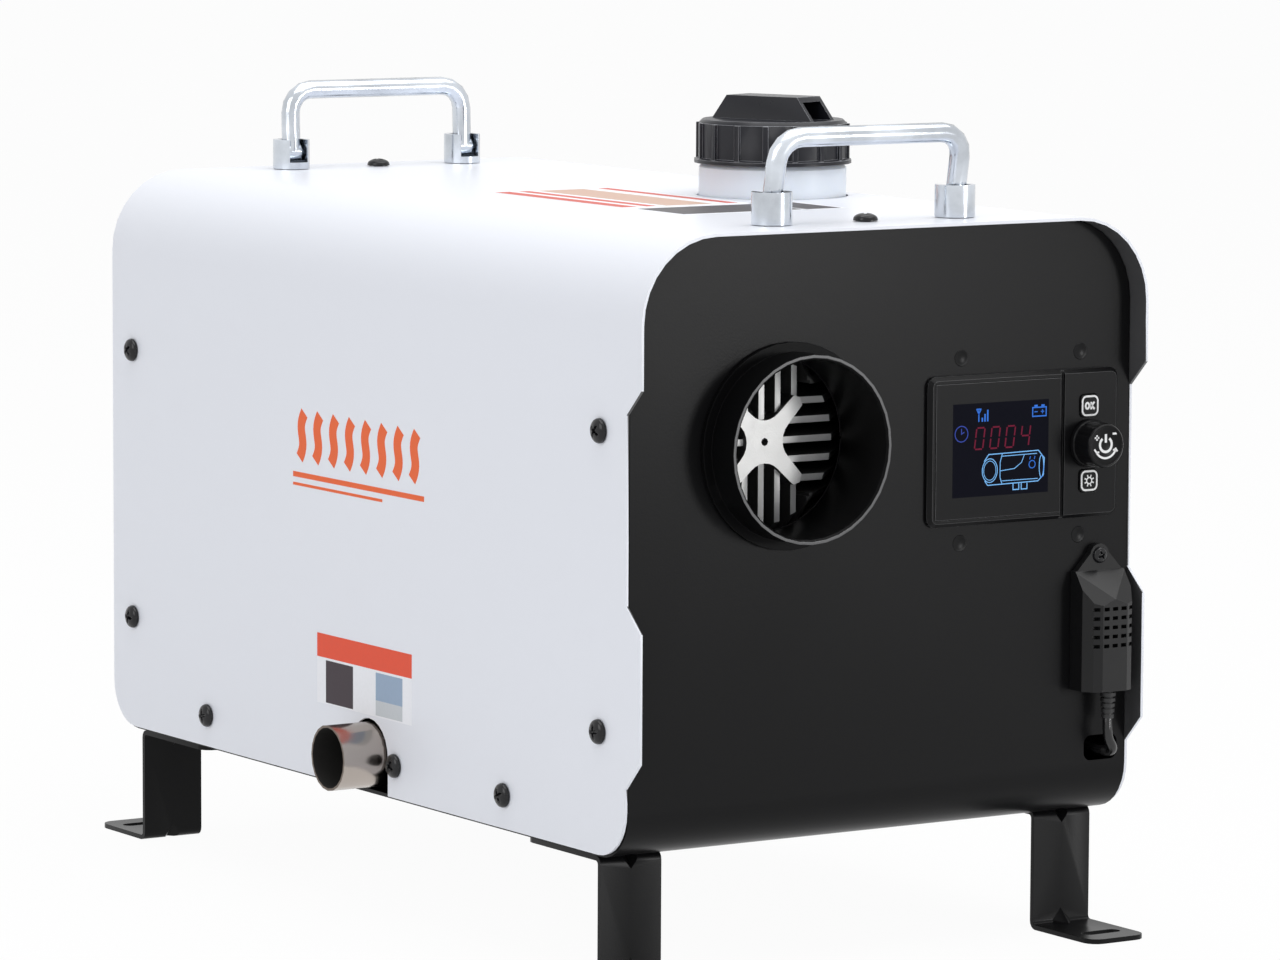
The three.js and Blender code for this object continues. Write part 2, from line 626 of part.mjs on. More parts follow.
function chassis() {
  const across = CHASSIS_HALF;
  const filled = (inwards) => prism(
    archShape(across - inwards, CHASSIS_TOP - inwards, TOP_R - SHEET - FIT - inwards, -BASE_DROP - PAST),
    "y", -PAST, CASE_D + PAST,
  ).intersect(prism(
    troughShape(inwards, CASE_D - inwards, inwards - BASE_DROP, CASE_H + PAST, BEND_R - inwards),
    "x", -HALF_W, HALF_W));
  const middle = block(-HALF_W, HALF_W, SIDE_FLANGE, CASE_D - SIDE_FLANGE, BASE_FLANGE, CASE_H + PAST);
  const leadHole = prism(
    roundedRect(LEAD_HOLE.width, LEAD_HOLE.height, LEAD_HOLE.height / 3,
      HALF_W - LEAD_HOLE.right - LEAD_HOLE.width / 2, LEAD_HOLE.z), "y", -PAST, SHEET + PAST, 4);
  const controllerHole = prism(
    roundedRect(
      CTRL_W - 2 * (CTRL_BACK_MARGIN - FIT), CTRL_H - 2 * (CTRL_BACK_MARGIN - FIT), SHEET, CTRL_X, CTRL_Z),
    "y", -PAST, SHEET + PAST, 1);
  const socketHole = block(
    HALF_W - INLET_SOCKET.inset - INLET_SOCKET.width / 2 + INLET_SOCKET.wall - FIT,
    HALF_W - INLET_SOCKET.inset + INLET_SOCKET.width / 2 - INLET_SOCKET.wall + FIT,
    CASE_D - SHEET - PAST, CASE_D + PAST,
    INLET_SOCKET.z - INLET_SOCKET.height / 2 + INLET_SOCKET.wall - FIT,
    INLET_SOCKET.z + INLET_SOCKET.height / 2 - INLET_SOCKET.wall + FIT);
  const studs = handleRows.flatMap((y) =>
    [-1, 1].map((side) =>
      rod(POST_STUD_R + FIT, "z", CASE_H - POST_STUD_L, CASE_H + PAST, [side * HANDLE_SPAN / 2, y], 8)));
  return cut(
    filled(0), filled(SHEET), middle, leadHole, controllerHole, socketHole,
    exhaustNotch(BASE_TOP + SEAT),
    rod(OUTLET_R + FIT, "y", -PAST, SHEET + PAST, [AXIS_X, AXIS_Z], 32),
    rod(GRILLE_R - GRILLE_RIM, "y", CASE_D - SHEET - PAST, CASE_D + PAST, [AXIS_X, AXIS_Z], 24),
    rod(SNOUT_R + 2 * FIT, "z", -BASE_DROP - PAST, BASE_TOP + PAST, [AXIS_X, INTAKE_Y], 16),
    ...screwHoles(SCREW_R + SEAT), ...studs);
}

function caseScrew(name, at, turn) {
  const dome = [];
  for (let i = 0; i <= 2; i++) {
    const a = (i / 2) * (Math.PI / 2);
    dome.push([SCREW_HEAD_R * Math.cos(a), SEAT + SCREW_RIM_H + (SCREW_HEAD_H - SCREW_RIM_H) * Math.sin(a)]);
  }
  dome.at(-1)[0] = 0;
  const profile = [[0, -SCREW_L], [SCREW_R, -SCREW_L], [SCREW_R, SEAT], [SCREW_HEAD_R, SEAT], ...dome];
  const mesh = part(name, screwBlack, turned(profile, "z", 8));
  mesh.position.set(...at);
  mesh.rotation.set(...turn);
  return mesh;
}

function caseScrews() {
  const group = new THREE.Group();
  sideScrews.forEach(([y, z], i) => {
    group.add(caseScrew(`case_screw_left_${i + 1}`, [-HALF_W, y, z], [0, -Math.PI / 2, 0]));
    group.add(caseScrew(`case_screw_right_${i + 1}`, [HALF_W, y, z], [0, Math.PI / 2, 0]));
  });
  topScrews.forEach((y, i) => group.add(caseScrew(`case_screw_top_${i + 1}`, [0, y, CASE_H], [0, 0, 0])));
  return group;
}

// ---------- Legs ----------
// A pressed dent that stiffens a bend: four corners, two on the bend and one on each leg.
function dent(y, z, towardsY, towardsZ) {
  return solid(new ConvexGeometry([
    new THREE.Vector3(-DENT_W / 2, y, z), new THREE.Vector3(DENT_W / 2, y, z),
    new THREE.Vector3(0, y + towardsY * DENT_D, z), new THREE.Vector3(0, y, z + towardsZ * DENT_D),
  ]));
}

function leg() {
  const top = -BASE_DROP - SEAT;
  const outer = LEG_BEND + LEG_T;
  const s = new THREE.Shape();
  s.moveTo(LEG_FLANGE, top);
  s.lineTo(outer, top);
  s.absarc(outer, top - outer, outer, Math.PI / 2, Math.PI);
  s.lineTo(0, FLOOR_Z + LEG_T + LEG_BEND);
  s.absarc(-LEG_BEND, FLOOR_Z + LEG_T + LEG_BEND, LEG_BEND, 0, -Math.PI / 2, true);
  s.lineTo(-LEG_FOOT, FLOOR_Z + LEG_T);
  s.lineTo(-LEG_FOOT, FLOOR_Z);
  s.lineTo(LEG_T - outer, FLOOR_Z);
  s.absarc(LEG_T - outer, FLOOR_Z + outer, outer, -Math.PI / 2, 0);
  s.lineTo(LEG_T, top - LEG_T - LEG_BEND);
  s.absarc(LEG_T + LEG_BEND, top - LEG_T - LEG_BEND, LEG_BEND, Math.PI, Math.PI / 2, true);
  s.lineTo(LEG_FLANGE, top - LEG_T);
  s.closePath();
  const plan = roundedRect(LEG_W, LEG_FOOT + LEG_FLANGE, FOOT_CORNER_R, 0, (LEG_FLANGE - LEG_FOOT) / 2);
  const slot = roundedRect(
    FOOT_SLOT.length, FOOT_SLOT.width, FOOT_SLOT.width / 2 - HAIR, 0, -FOOT_SLOT.out);
  const sheet = prism(s, "x", -LEG_W / 2, LEG_W / 2, 2)
    .intersect(prism(plan, "z", FLOOR_Z - PAST, top + PAST, 2));
  const webs = join(
    sheet,
    dent(LEG_T, top - LEG_T, 1, -1), dent(0, FLOOR_Z + LEG_T, -1, 1));
  return cut(
    webs, prism(slot, "z", FLOOR_Z - PAST, FLOOR_Z + LEG_T + PAST, 2),
    dent(-HAIR, top + HAIR, 1, -1), dent(LEG_T + HAIR, FLOOR_Z - HAIR, -1, 1));
}

function legs() {
  const group = new THREE.Group();
  const across = HALF_W - LEG_SIDE_INSET - LEG_W / 2;
  for (const [end, y, turn] of [["front", LEG_INSET, 0], ["rear", CASE_D - LEG_INSET, Math.PI]])
    for (const [side, x] of [["left", -across], ["right", across]]) {
      const mesh = part(`leg_${end}_${side}`, blackPaint, leg());
      mesh.position.set(x, y, 0);
      mesh.rotation.z = turn;
      group.add(mesh);
    }
  return group;
}

// ---------- Handles ----------
// Drawn on the cover's top with the middle of the case towards +y; the rear one is turned round.
function handlePost(lean) {
  const slotHalf = ROD_R + FIT;
  const out = [-Math.sin(lean * DEG), Math.cos(lean * DEG)];
  const across = [-out[1] * slotHalf, out[0] * slotHalf];
  const reach = POST_R * 3;
  const slot = polygon([
    [across[0], PIN_H + across[1]],
    [0, PIN_H], [0, PIN_H - slotHalf], [reach, PIN_H - slotHalf], [reach, PIN_H + reach],
    [across[0] + out[0] * reach, PIN_H + across[1] + out[1] * reach],
  ]);
  const body = join(
    rod(POST_R, "z", SEAT, POST_H, [0, 0], 20),
    rod(POST_STUD_R, "z", -POST_STUD_L, SEAT, [0, 0], 8));
  const slotted = cut(
    body, prism(slot, "x", -slotHalf, slotHalf), rod(slotHalf, "x", -slotHalf, slotHalf, [0, PIN_H], 20));
  return join(slotted, rod(PIN_R, "x", -PIN_L / 2, PIN_L / 2, [0, PIN_H], 8));
}

function handleBail(lean) {
  const half = HANDLE_SPAN / 2;
  const rise = HANDLE_RISE - ROD_R - PIN_H;
  const bar = bentBar([[-half, 0, 0], [-half, 0, rise], [half, 0, rise], [half, 0, 0]],
    ROD_R, HANDLE_CORNER_R - ROD_R, 4, 12);
  const ends = [-half, half].map((x) => rod(ROD_R, "x", x - BAIL_EYE_W / 2, x + BAIL_EYE_W / 2, [0, 0], 16));
  const holes = [-half, half].map((x) =>
    rod(PIN_R + SEAT, "x", x - ROD_R - PAST, x + ROD_R + PAST, [0, 0], 12));
  return cut(join(bar, ...ends), ...holes).rotate([lean, 0, 0]);
}

function handles() {
  const group = new THREE.Group();
  const places = [["front", handleRows[0], 0, FRONT_LEAN], ["rear", handleRows[1], Math.PI, REAR_LEAN]];
  for (const [end, y, turn, lean] of places) {
    const handle = new THREE.Group();
    handle.position.set(0, y, CASE_H);
    handle.rotation.z = turn;
    for (const [side, sign] of [["left", -1], ["right", 1]]) {
      const post = part(`handle_post_${end}_${side}`, zinc, handlePost(lean));
      post.position.x = (sign * HANDLE_SPAN / 2) * (turn ? -1 : 1);
      handle.add(post);
    }
    const bail = part(`handle_bail_${end}`, zinc, handleBail(lean));
    bail.position.z = PIN_H;
    handle.add(bail);
    group.add(handle);
  }
  return group;
}

// ---------- Heater unit, drawn about its own axis along y ----------
function outletDuct() {
  const inner = OUTLET_R - OUTLET_WALL;
  return turned([
    [inner, -OUTLET_OUT + OUTLET_LIP], [inner + OUTLET_LIP, -OUTLET_OUT], [OUTLET_R, -OUTLET_OUT],
    [OUTLET_R, -SEAT - OUTLET_FLANGE_T],
    [OUTLET_FLANGE_R, -SEAT - OUTLET_FLANGE_T], [OUTLET_FLANGE_R, -SEAT], [OUTLET_R, -SEAT],
    [OUTLET_R, OUTLET_IN], [inner, OUTLET_IN],
  ], "y", 36);
}

function jacketHalf(upper) {
  const [nose, wall] = [OUTLET_R, JACKET_WALL];
  const mouth = JACKET_END - JACKET_TAIL;
  const ease = wall * 0.4; // keeps the wall even round a bend
  const body = turned([
    [nose - wall, JACKET_START], [nose, JACKET_START], [JACKET_R, JACKET_START + JACKET_NOSE],
    [JACKET_R, mouth], [INLET_R + wall, JACKET_END], [INLET_R, JACKET_END],
    [JACKET_R - wall, mouth - 2 * ease], [JACKET_R - wall, JACKET_START + JACKET_NOSE + ease],
  ], "y", 36);
  const away = upper
    ? block(-JACKET_R - PAST, JACKET_R + PAST, 0, JACKET_END + PAST, -JACKET_R - PAST, SEAT / 2)
    : block(-JACKET_R - PAST, JACKET_R + PAST, 0, JACKET_END + PAST, -SEAT / 2, JACKET_R + PAST);
  const half = cut(body, away);
  if (upper) return half;
  return cut(
    half,
    block(-PORT_BLOCK.width / 2 - FIT, PORT_BLOCK.width / 2 + FIT,
      PORT_FRONT - FIT, PORT_REAR + FIT, -JACKET_R - PAST, 0));
}

// The nose casting: four arms on the diagonals with round fillets between them.
function crossShape() {
  const s = new THREE.Shape();
  const half = CROSS_ARM / 2;
  const root = half + CROSS_FILLET_R;
  for (let i = 0; i < 4; i++) {
    const turn = ((i + 0.5) * Math.PI) / 2;
    const at = (along, side) => [
      along * Math.cos(turn) - side * Math.sin(turn),
      along * Math.sin(turn) + side * Math.cos(turn),
    ];
    if (i) s.lineTo(...at(root, -half));
    else s.moveTo(...at(root, -half));
    s.lineTo(...at(CROSS_R - CROSS_TIP.length, -half * CROSS_TIP.share));
    s.lineTo(...at(CROSS_R, 0));
    s.lineTo(...at(CROSS_R - CROSS_TIP.length, half * CROSS_TIP.share));
    s.lineTo(...at(root, half));
    const centre = at(root, root);
    s.absarc(...centre, CROSS_FILLET_R, turn - Math.PI / 2, turn - Math.PI, true);
  }
  s.closePath();
  return s;
}

function heatExchanger() {
  const finFront = EXCHANGER_START + FIN_FRONT_GAP;
  const finRear = EXCHANGER_END - END_FLANGE_T - FIN_REAR_GAP;
  const envelope = turned([
    [0, finFront], [FIN_TIP_R, finFront], [FIN_R, finFront + JACKET_NOSE],
    [FIN_R, finRear], [0, finRear],
  ], "y", 24);
  const fins = [];
  for (let k = -FINS_EACH_SIDE; k <= FINS_EACH_SIDE; k++) {
    const across = k * FIN_PITCH;
    const near = Math.abs(across);
    for (const sign of [-1, 1]) {
      const [low, high] = sign > 0 ? [near, FIN_R + PAST] : [-FIN_R - PAST, -near];
      fins.push(block(across - FIN_T / 2, across + FIN_T / 2, finFront, finRear, low, high));
      fins.push(block(low, high, finFront, finRear, across - FIN_T / 2, across + FIN_T / 2));
    }
  }
  const webFront = EXCHANGER_START + CROSS_DEPTH - PAST;
  for (const turn of [45, -45])
    fins.push(block(-FIN_R, FIN_R, webFront, finRear, -FIN_T / 2, FIN_T / 2).rotate([0, turn, 0]));
  const finned = join(...fins).intersect(envelope);
  const core = turned([
    [0, EXCHANGER_START + CORE_TIP.start], [CORE_TIP.r, EXCHANGER_START + CORE_TIP.start + CORE_TIP.rise],
    [CORE_R, EXCHANGER_START + CORE_NOSE],
    [CORE_R, EXCHANGER_END - END_FLANGE_T], [END_FLANGE_R, EXCHANGER_END - END_FLANGE_T],
    [END_FLANGE_R, EXCHANGER_END], [0, EXCHANGER_END],
  ], "y", 24);
  const nose = prism(crossShape(), "y", EXCHANGER_START, EXCHANGER_START + CROSS_DEPTH, 3);
  const base = block(-PORT_BLOCK.width / 2, PORT_BLOCK.width / 2, PORT_FRONT, EXCHANGER_END,
    -PORT_BELOW, -PORT_BLOCK.baseTop);
  const foot = block(-PORT_BLOCK.width / 2, PORT_BLOCK.width / 2, PORT_FRONT, PORT_REAR,
    -PORT_BELOW, -PORT_BLOCK.footTop);
  const portRows = [[EXHAUST_PORT_R, EXHAUST_Y], [INTAKE_PORT_R, INTAKE_Y]];
  const [portLow, blockLow] = [-PORT_BELOW - PORT_DROP, -PORT_BELOW];
  const ports = portRows.map(([r, y]) => rod(r, "z", portLow, blockLow + PAST, [0, y], 20));
  const bores = portRows.map(([r, y]) =>
    rod(r - PORT_WALL, "z", portLow - PAST, blockLow + PORT_DEPTH, [0, y], 16));
  return cut(
    join(finned, core, nose, base, foot, ...ports), ...bores,
    rod(CORE_BORE_R, "y", EXCHANGER_START + CORE_NOSE + CORE_BORE_START, EXCHANGER_END + PAST, [0, 0], 20),
    rod(CENTRE_HOLE_R, "y", EXCHANGER_START - PAST, EXCHANGER_START + CENTRE_HOLE_DEPTH, [0, 0], 8));
}

function burnerTube() {
  const back = EXCHANGER_END + SEAT;
  const tube = turned([
    [0, back + BURNER_FLANGE_T], [0, back], [BURNER_R - BURNER_WALL, back],
    [BURNER_R - BURNER_WALL, back - BURNER_L], [BURNER_R, back - BURNER_L], [BURNER_R, back],
    [BURNER_FLANGE_R, back], [BURNER_FLANGE_R, back + BURNER_FLANGE_T],
  ], "y", 20);
  const plug = rod(GLOW_PLUG_R, "y", back - GLOW_PLUG_L, back + PAST, [0, BURNER_R / 2], 12);
  return join(tube, plug);
}

function blowerHousing() {
  const cavity = [IMPELLER_START - IMPELLER_END_GAP, IMPELLER_START + IMPELLER_T + IMPELLER_END_GAP];
  return cut(
    rod(BLOWER_R, "y", BLOWER_START, BLOWER_END, [0, 0], 24),
    rod(IMPELLER_R + IMPELLER_TIP_GAP, "y", ...cavity, [0, 0], 20),
    rod(BLOWER_EYE_R, "y", BLOWER_START - PAST, cavity[0] + PAST, [0, 0], 16),
    rod(SHAFT_R + RUNNING, "y", cavity[1] - PAST, BLOWER_END + PAST, [0, 0], 12));
}

function combustionImpeller() {
  const [front, back] = [IMPELLER_START, IMPELLER_START + IMPELLER_T];
  const plate = rod(IMPELLER_R, "y", back - IMPELLER_PLATE_T, back, [0, 0], 20);
  const hub = rod(IMPELLER_HUB_R, "y", front, back - PAST, [0, 0], 16);
  const blades = [];
  for (let i = 0; i < IMPELLER_BLADES; i++)
    blades.push(
      block(IMPELLER_HUB_R - PAST, IMPELLER_R - PAST, front + PAST, back - PAST, -BLADE_T / 2, BLADE_T / 2)
        .rotate([0, (360 * i) / IMPELLER_BLADES, 0]));
  return cut(join(plate, hub, ...blades), rod(SHAFT_R + SEAT, "y", front - PAST, back + PAST, [0, 0], 12));
}

function fanMotor() {
  const [rim, flange] = [MOTOR_R + MOTOR_FLANGE.rim, MOTOR_START + MOTOR_FLANGE.t];
  return cut(
    turned([
      [0, MOTOR_START], [rim, MOTOR_START], [rim, flange], [MOTOR_R, flange],
      [MOTOR_R, MOTOR_END - MOTOR_TAIL.length], [MOTOR_R - MOTOR_TAIL.taper, MOTOR_END], [0, MOTOR_END],
    ], "y", 20),
    rod(SHAFT_R + RUNNING, "y", MOTOR_START - PAST, MOTOR_END + PAST, [0, 0], 12));
}

function hotAirFan() {
  const end = FAN_START + FAN_T;
  const reach = FAN_T / 2 / Math.cos(FAN_PITCH * DEG) - FAN_BLADE_INSET;
  const blades = [];
  for (let i = 0; i < FAN_BLADES; i++)
    blades.push(
      block(FAN_HUB_R - FAN_ROOT, FAN_R, -reach, reach, -BLADE_T / 2, BLADE_T / 2)
        .rotate([FAN_PITCH, 0, 0])
        .translate([0, FAN_START + FAN_T / 2, 0])
        .rotate([0, (360 * i) / FAN_BLADES, 0]));
  const hub = turned([
    [0, FAN_START], [FAN_HUB_R, FAN_START], [FAN_HUB_R, end - FAN_NOSE.length],
    [FAN_HUB_R - FAN_NOSE.taper, end], [0, end],
  ], "y", 20);
  return cut(join(hub, ...blades), rod(SHAFT_R + SEAT, "y", FAN_START - PAST, end + PAST, [0, 0], 12));
}

function controlBoard() {
  const low = BLOWER_R + SEAT;
  const [left, front] = [-BOARD.width / 2, BLOWER_START + BOARD.inset];
  const top = low + BOARD.t;
  const parts = BOARD_PARTS.map(([across, along, width, length, height]) => {
    const [x, y] = [left + across, front + along];
    return block(x, x + width, y, y + length, low + BOARD.t / 2, top + height);
  });
  return join(block(left, -left, front, front + BOARD.length, low, top), ...parts);
}

function motorShaft() {
  return rod(
    SHAFT_R, "y", IMPELLER_START - SHAFT_PROUD.front, FAN_START + FAN_T + SHAFT_PROUD.rear, [0, 0], 12);
}

function heaterUnit() {
  const group = new THREE.Group();
  group.position.set(AXIS_X, 0, AXIS_Z);
  group.add(
    part("outlet_duct", blackPlastic, outletDuct()),
    part("heater_case_upper", blackPlastic, jacketHalf(true)),
    part("heater_case_lower", blackPlastic, jacketHalf(false)),
    part("heat_exchanger", castAluminium, heatExchanger()),
    part("burner_tube", steel, burnerTube()),
    part("blower_housing", castAluminium, blowerHousing()),
    part("combustion_impeller", castAluminium, combustionImpeller()),
    part("fan_motor", steel, fanMotor()),
    part("motor_shaft", steel, motorShaft()),
    part("hot_air_fan", blackPlastic, hotAirFan()),
    part("control_board", boardGreen, controlBoard()));
  return group;
}

// ---------- Heater table, exhaust and intake ----------
function heaterTable() {
  const [front, rear] = [PORT_FRONT - TABLE_MARGIN, PORT_REAR + TABLE_MARGIN];
  const low = BASE_TOP + SEAT;
  const t = TABLE_T;
  const hat = polygon([
    [front - TABLE_FOOT, low], [front, low], [front, TABLE_TOP - t], [rear, TABLE_TOP - t], [rear, low],
    [rear + TABLE_FOOT, low], [rear + TABLE_FOOT, low + t], [rear + t, low + t], [rear + t, TABLE_TOP],
    [front - t, TABLE_TOP], [front - t, low + t], [front - TABLE_FOOT, low + t],
  ]);
  return cut(
    prism(hat, "x", -TABLE_W / 2, TABLE_W / 2),
    rod(EXHAUST_PORT_R + 2 * FIT, "z", TABLE_TOP - t - PAST, TABLE_TOP + PAST, [0, EXHAUST_Y], 20),
    rod(INTAKE_PORT_R + 2 * FIT, "z", TABLE_TOP - t - PAST, TABLE_TOP + PAST, [0, INTAKE_Y], 20));
}

function exhaustPipe() {
  const top = TABLE_TOP - TABLE_T - SEAT;
  const mouth = -HALF_W - EXHAUST_OUT - AXIS_X;
  const route = [[0, EXHAUST_Y, top], [0, EXHAUST_Y, EXHAUST_Z], [mouth, EXHAUST_Y, EXHAUST_Z]];
  const longer = [[0, EXHAUST_Y, top + PAST], route[1], [mouth - PAST, EXHAUST_Y, EXHAUST_Z]];
  return cut(
    bentBar(route, EXHAUST_R, EXHAUST_BEND_R, 5, 20),
    bentBar(longer, EXHAUST_R - EXHAUST_WALL, EXHAUST_BEND_R, 5, 20));
}

function intakeSilencer() {
  const low = BASE_TOP + SEAT;
  const mouth = -BASE_DROP;
  const [shoulder, top] = [low + SILENCER_H, TABLE_TOP - TABLE_T - SEAT];
  const [bore, sleeve] = [INTAKE_PORT_R + SEAT, INTAKE_PORT_R + SEAT + SILENCER_WALL];
  const ease = SILENCER_WALL / 2; // keeps the wall even round a bend
  return turned([
    [SNOUT_R - SILENCER_WALL, mouth], [SNOUT_R, mouth], [SNOUT_R, low], [SILENCER_R, low],
    [SILENCER_R, shoulder], [sleeve, shoulder + SILENCER_TAPER], [sleeve, top],
    [bore, top], [bore, shoulder + SILENCER_TAPER - ease],
    [SILENCER_R - SILENCER_WALL, shoulder - ease], [SILENCER_R - SILENCER_WALL, low + SILENCER_WALL],
    [SNOUT_R - SILENCER_WALL, low + SILENCER_WALL],
  ], "z", 18);
}

// ---------- Fuel tank, filler cap, filter, pump and lines ----------
function tankOutline() {
  const right = HALF_W - SHEET - TANK_SIDE_GAP;
  const clear = JACKET_R + TANK_TO_JACKET;
  const left = AXIS_X + clear;
  const shoulder = NECK_X - NECK_R - TANK_WALL * 2;
  const drop = Math.sqrt(clear * clear - (shoulder - AXIS_X) ** 2);
  return [[left, TANK_LOW], [right, TANK_LOW], [right, TANK_TOP], [shoulder, TANK_TOP],
    [shoulder, AXIS_Z + drop + TANK_LEDGE], [left, AXIS_Z + TANK_LEDGE]];
}

function fuelTank() {
  const outline = tankOutline();
  // The outline pushed from front to rear, with its upright corners rounded in plan.
  const rounded = (wall, curveSegments) => {
    const [front, rear] = [TANK_FRONT + wall, TANK_REAR - wall];
    const right = HALF_W - SHEET - TANK_SIDE_GAP - wall;
    const plan = roundedRect(
      CASE_W, rear - front, TANK_CORNER_R - wall, right - HALF_W, (front + rear) / 2);
    const side = roundedPolygon(wall ? inset(outline, wall) : outline, TANK_EDGE_R - wall);
    return prism(side, "y", front, rear, curveSegments).intersect(prism(plan, "z", 0, CASE_H, curveSegments));
  };
  const root = TANK_TOP - TANK_WALL / 2;
  const collar = CAP_LOW - SEAT;
  const neck = turned([
    [0, root], [NECK_R, root], [NECK_R, collar - NECK_CHAMFER], [NECK_R - NECK_CHAMFER, collar],
    [FINISH_R, collar], [FINISH_R, NECK_TOP], [0, NECK_TOP],
  ], "z", 32).translate([NECK_X, NECK_Y, 0]);
  const bore = rod(
    FINISH_R - NECK_WALL, "z", TANK_TOP - TANK_WALL - PAST, NECK_TOP + PAST, [NECK_X, NECK_Y], 32);
  const nipple = rod(NIPPLE_R, "z", TANK_LOW - NIPPLE_L, TANK_LOW + PAST, [PUMP_X, NIPPLE_Y], 12);
  return cut(join(rounded(0, 2), neck, nipple), rounded(TANK_WALL, 1), bore);
}

function tankShelf() {
  const [low, top, t] = [BASE_TOP + SEAT, TANK_LOW - SEAT, TANK_SHELF_T];
  const left = AXIS_X + TABLE_W / 2 + 2 * HOSE_R + TABLE_FOOT + TANK_SHELF_GAP;
  const right = HALF_W - SHEET - TANK_SIDE_GAP;
  const hat = polygon([
    [left - TABLE_FOOT, low], [left + t, low], [left + t, top - t], [right - t, top - t], [right - t, low],
    [right, low], [right, top], [left, top], [left, low + t], [left - TABLE_FOOT, low + t],
  ]);
  const y0 = (TANK_FRONT + TANK_REAR - TANK_SHELF_W) / 2 + TANK_SHELF_SHIFT;
  return prism(hat, "y", y0, y0 + TANK_SHELF_W);
}

function fuelPump() {
  const [front, rear] = [PUMP_FRONT, PUMP_FRONT + PUMP_L];
  const [nose, tail] = [front + PUMP_NOSE.length, rear - PUMP_TAIL.length];
  return turned([
    [0, front - NIPPLE_L], [NIPPLE_R, front - NIPPLE_L], [NIPPLE_R, front], [PUMP_R - PUMP_NOSE.step, front],
    [PUMP_R - PUMP_NOSE.step, nose], [PUMP_R, nose + PUMP_BEVEL], [PUMP_R, tail - PUMP_BEVEL],
    [PUMP_R - PUMP_TAIL.step, tail], [PUMP_R - PUMP_TAIL.step, rear],
    [NIPPLE_R, rear], [NIPPLE_R, rear + NIPPLE_L], [0, rear + NIPPLE_L],
  ], "y", 16).translate([PUMP_X, 0, PUMP_Z]);
}

function fuelFilter() {
  const neckR = NIPPLE_R + FILTER_NECK.step;
  const neck = FILTER_START + FILTER_NECK.length;
  const tail = FILTER_END - FILTER_TAIL.length;
  return turned([
    [0, FILTER_START], [neckR, FILTER_START], [neckR, neck], [FILTER_R, neck + FILTER_NECK.taper],
    [FILTER_R, tail - FILTER_TAIL.taper], [NIPPLE_R, tail], [NIPPLE_R, FILTER_END], [0, FILTER_END],
  ], "y", 16).translate([PUMP_X, 0, PUMP_Z]);
}

function tankHose() {
  const drop = TANK_LOW - NIPPLE_L - SEAT;
  return bentBar([
    [PUMP_X, FILTER_END + SEAT, PUMP_Z], [PUMP_X, NIPPLE_Y, PUMP_Z], [PUMP_X, NIPPLE_Y, drop],
  ], HOSE_R, HOSE_BEND_R, 6, 8);
}

// From the pump's front round to the burner's fuel inlet beside the intake port.
function burnerHose() {
  const side = TABLE_W / 2 + HOSE_R + HOSE_GAP;
  const inletX = AXIS_X + side;
  const jacketZ = AXIS_Z - Math.sqrt(JACKET_R ** 2 - (side - HOSE_R) ** 2);
  const turnY = PUMP_FRONT - NIPPLE_L - 2 * HOSE_BEND_R;
  return bentBar([
    [PUMP_X, PUMP_FRONT - NIPPLE_L - SEAT, PUMP_Z], [PUMP_X, turnY, PUMP_Z],
    [inletX, turnY, PUMP_Z], [inletX, FUEL_INLET_Y, PUMP_Z], [inletX, FUEL_INLET_Y, jacketZ - SEAT],
  ], HOSE_R, HOSE_BEND_R, 6, 8);
}

function capSeal() {
  const [low, inner] = [NECK_TOP + SEAT, FINISH_R - NECK_WALL - SEAL_OVERHANG];
  return turned([[inner, low], [FINISH_R, low], [FINISH_R, SEAL_TOP], [inner, SEAL_TOP]], "z", 24);
}

function fuelCap() {
  const bore = FINISH_R + CAP_BORE_GAP;
  const ceiling = SEAL_TOP + SEAT;
  const band = CAP_R - CAP_RIB.height;
  const skirt = turned([
    [0, CAP_TOP], [band - CAP_EDGE, CAP_TOP], [band, CAP_TOP - CAP_EDGE], [band, CAP_LOW + CAP_LIP_H],
    [CAP_LIP_R, CAP_LOW + CAP_LIP_H - CAP_LIP_EDGE], [CAP_LIP_R, CAP_LOW],
    [bore, CAP_LOW], [bore, ceiling], [0, ceiling],
  ], "z", 28);
  const ribs = [];
  for (let i = 0; i < CAP_RIB.count; i++)
    ribs.push(
      block(band - CAP_RIB.root, CAP_R, -CAP_RIB.width / 2, CAP_RIB.width / 2,
        CAP_LOW + CAP_RIB.foot, CAP_TOP - CAP_RIB.head)
        .rotate([0, 0, (360 * (i + CAP_RIB.turn)) / CAP_RIB.count]));
  const gripTop = CAP_TOP + GRIP.height;
  const trapezoid = polygon([
    [-GRIP.base / 2, CAP_TOP - GRIP.root], [GRIP.base / 2, CAP_TOP - GRIP.root],
    [GRIP.top / 2, gripTop], [-GRIP.top / 2, gripTop],
  ]);
  const channel = block(
    -GRIP.base, GRIP.base, -GRIP.width / 2 + GRIP.wall, GRIP.width / 2 - GRIP.wall,
    CAP_TOP, gripTop - GRIP.wall);
  const grip = cut(prism(trapezoid, "y", -GRIP.width / 2, GRIP.width / 2), channel)
    .rotate([0, 0, GRIP.turn]);
  return join(skirt, ...ribs, grip);
}

function fuelSystem() {
  const group = new THREE.Group();
  const cap = part("fuel_cap", capBlack, fuelCap());
  const seal = part("cap_seal", rubber, capSeal());
  for (const mesh of [cap, seal]) mesh.position.set(NECK_X, NECK_Y, 0);
  group.add(
    part("fuel_tank", tankWhite, fuelTank()), seal, cap,
    part("tank_shelf", steel, tankShelf()),
    part("fuel_pump", steel, fuelPump()),
    part("fuel_filter", tankWhite, fuelFilter()),
    part("fuel_line_tank", rubber, tankHose()),
    part("fuel_line_burner", rubber, burnerHose()));
  return group;
}

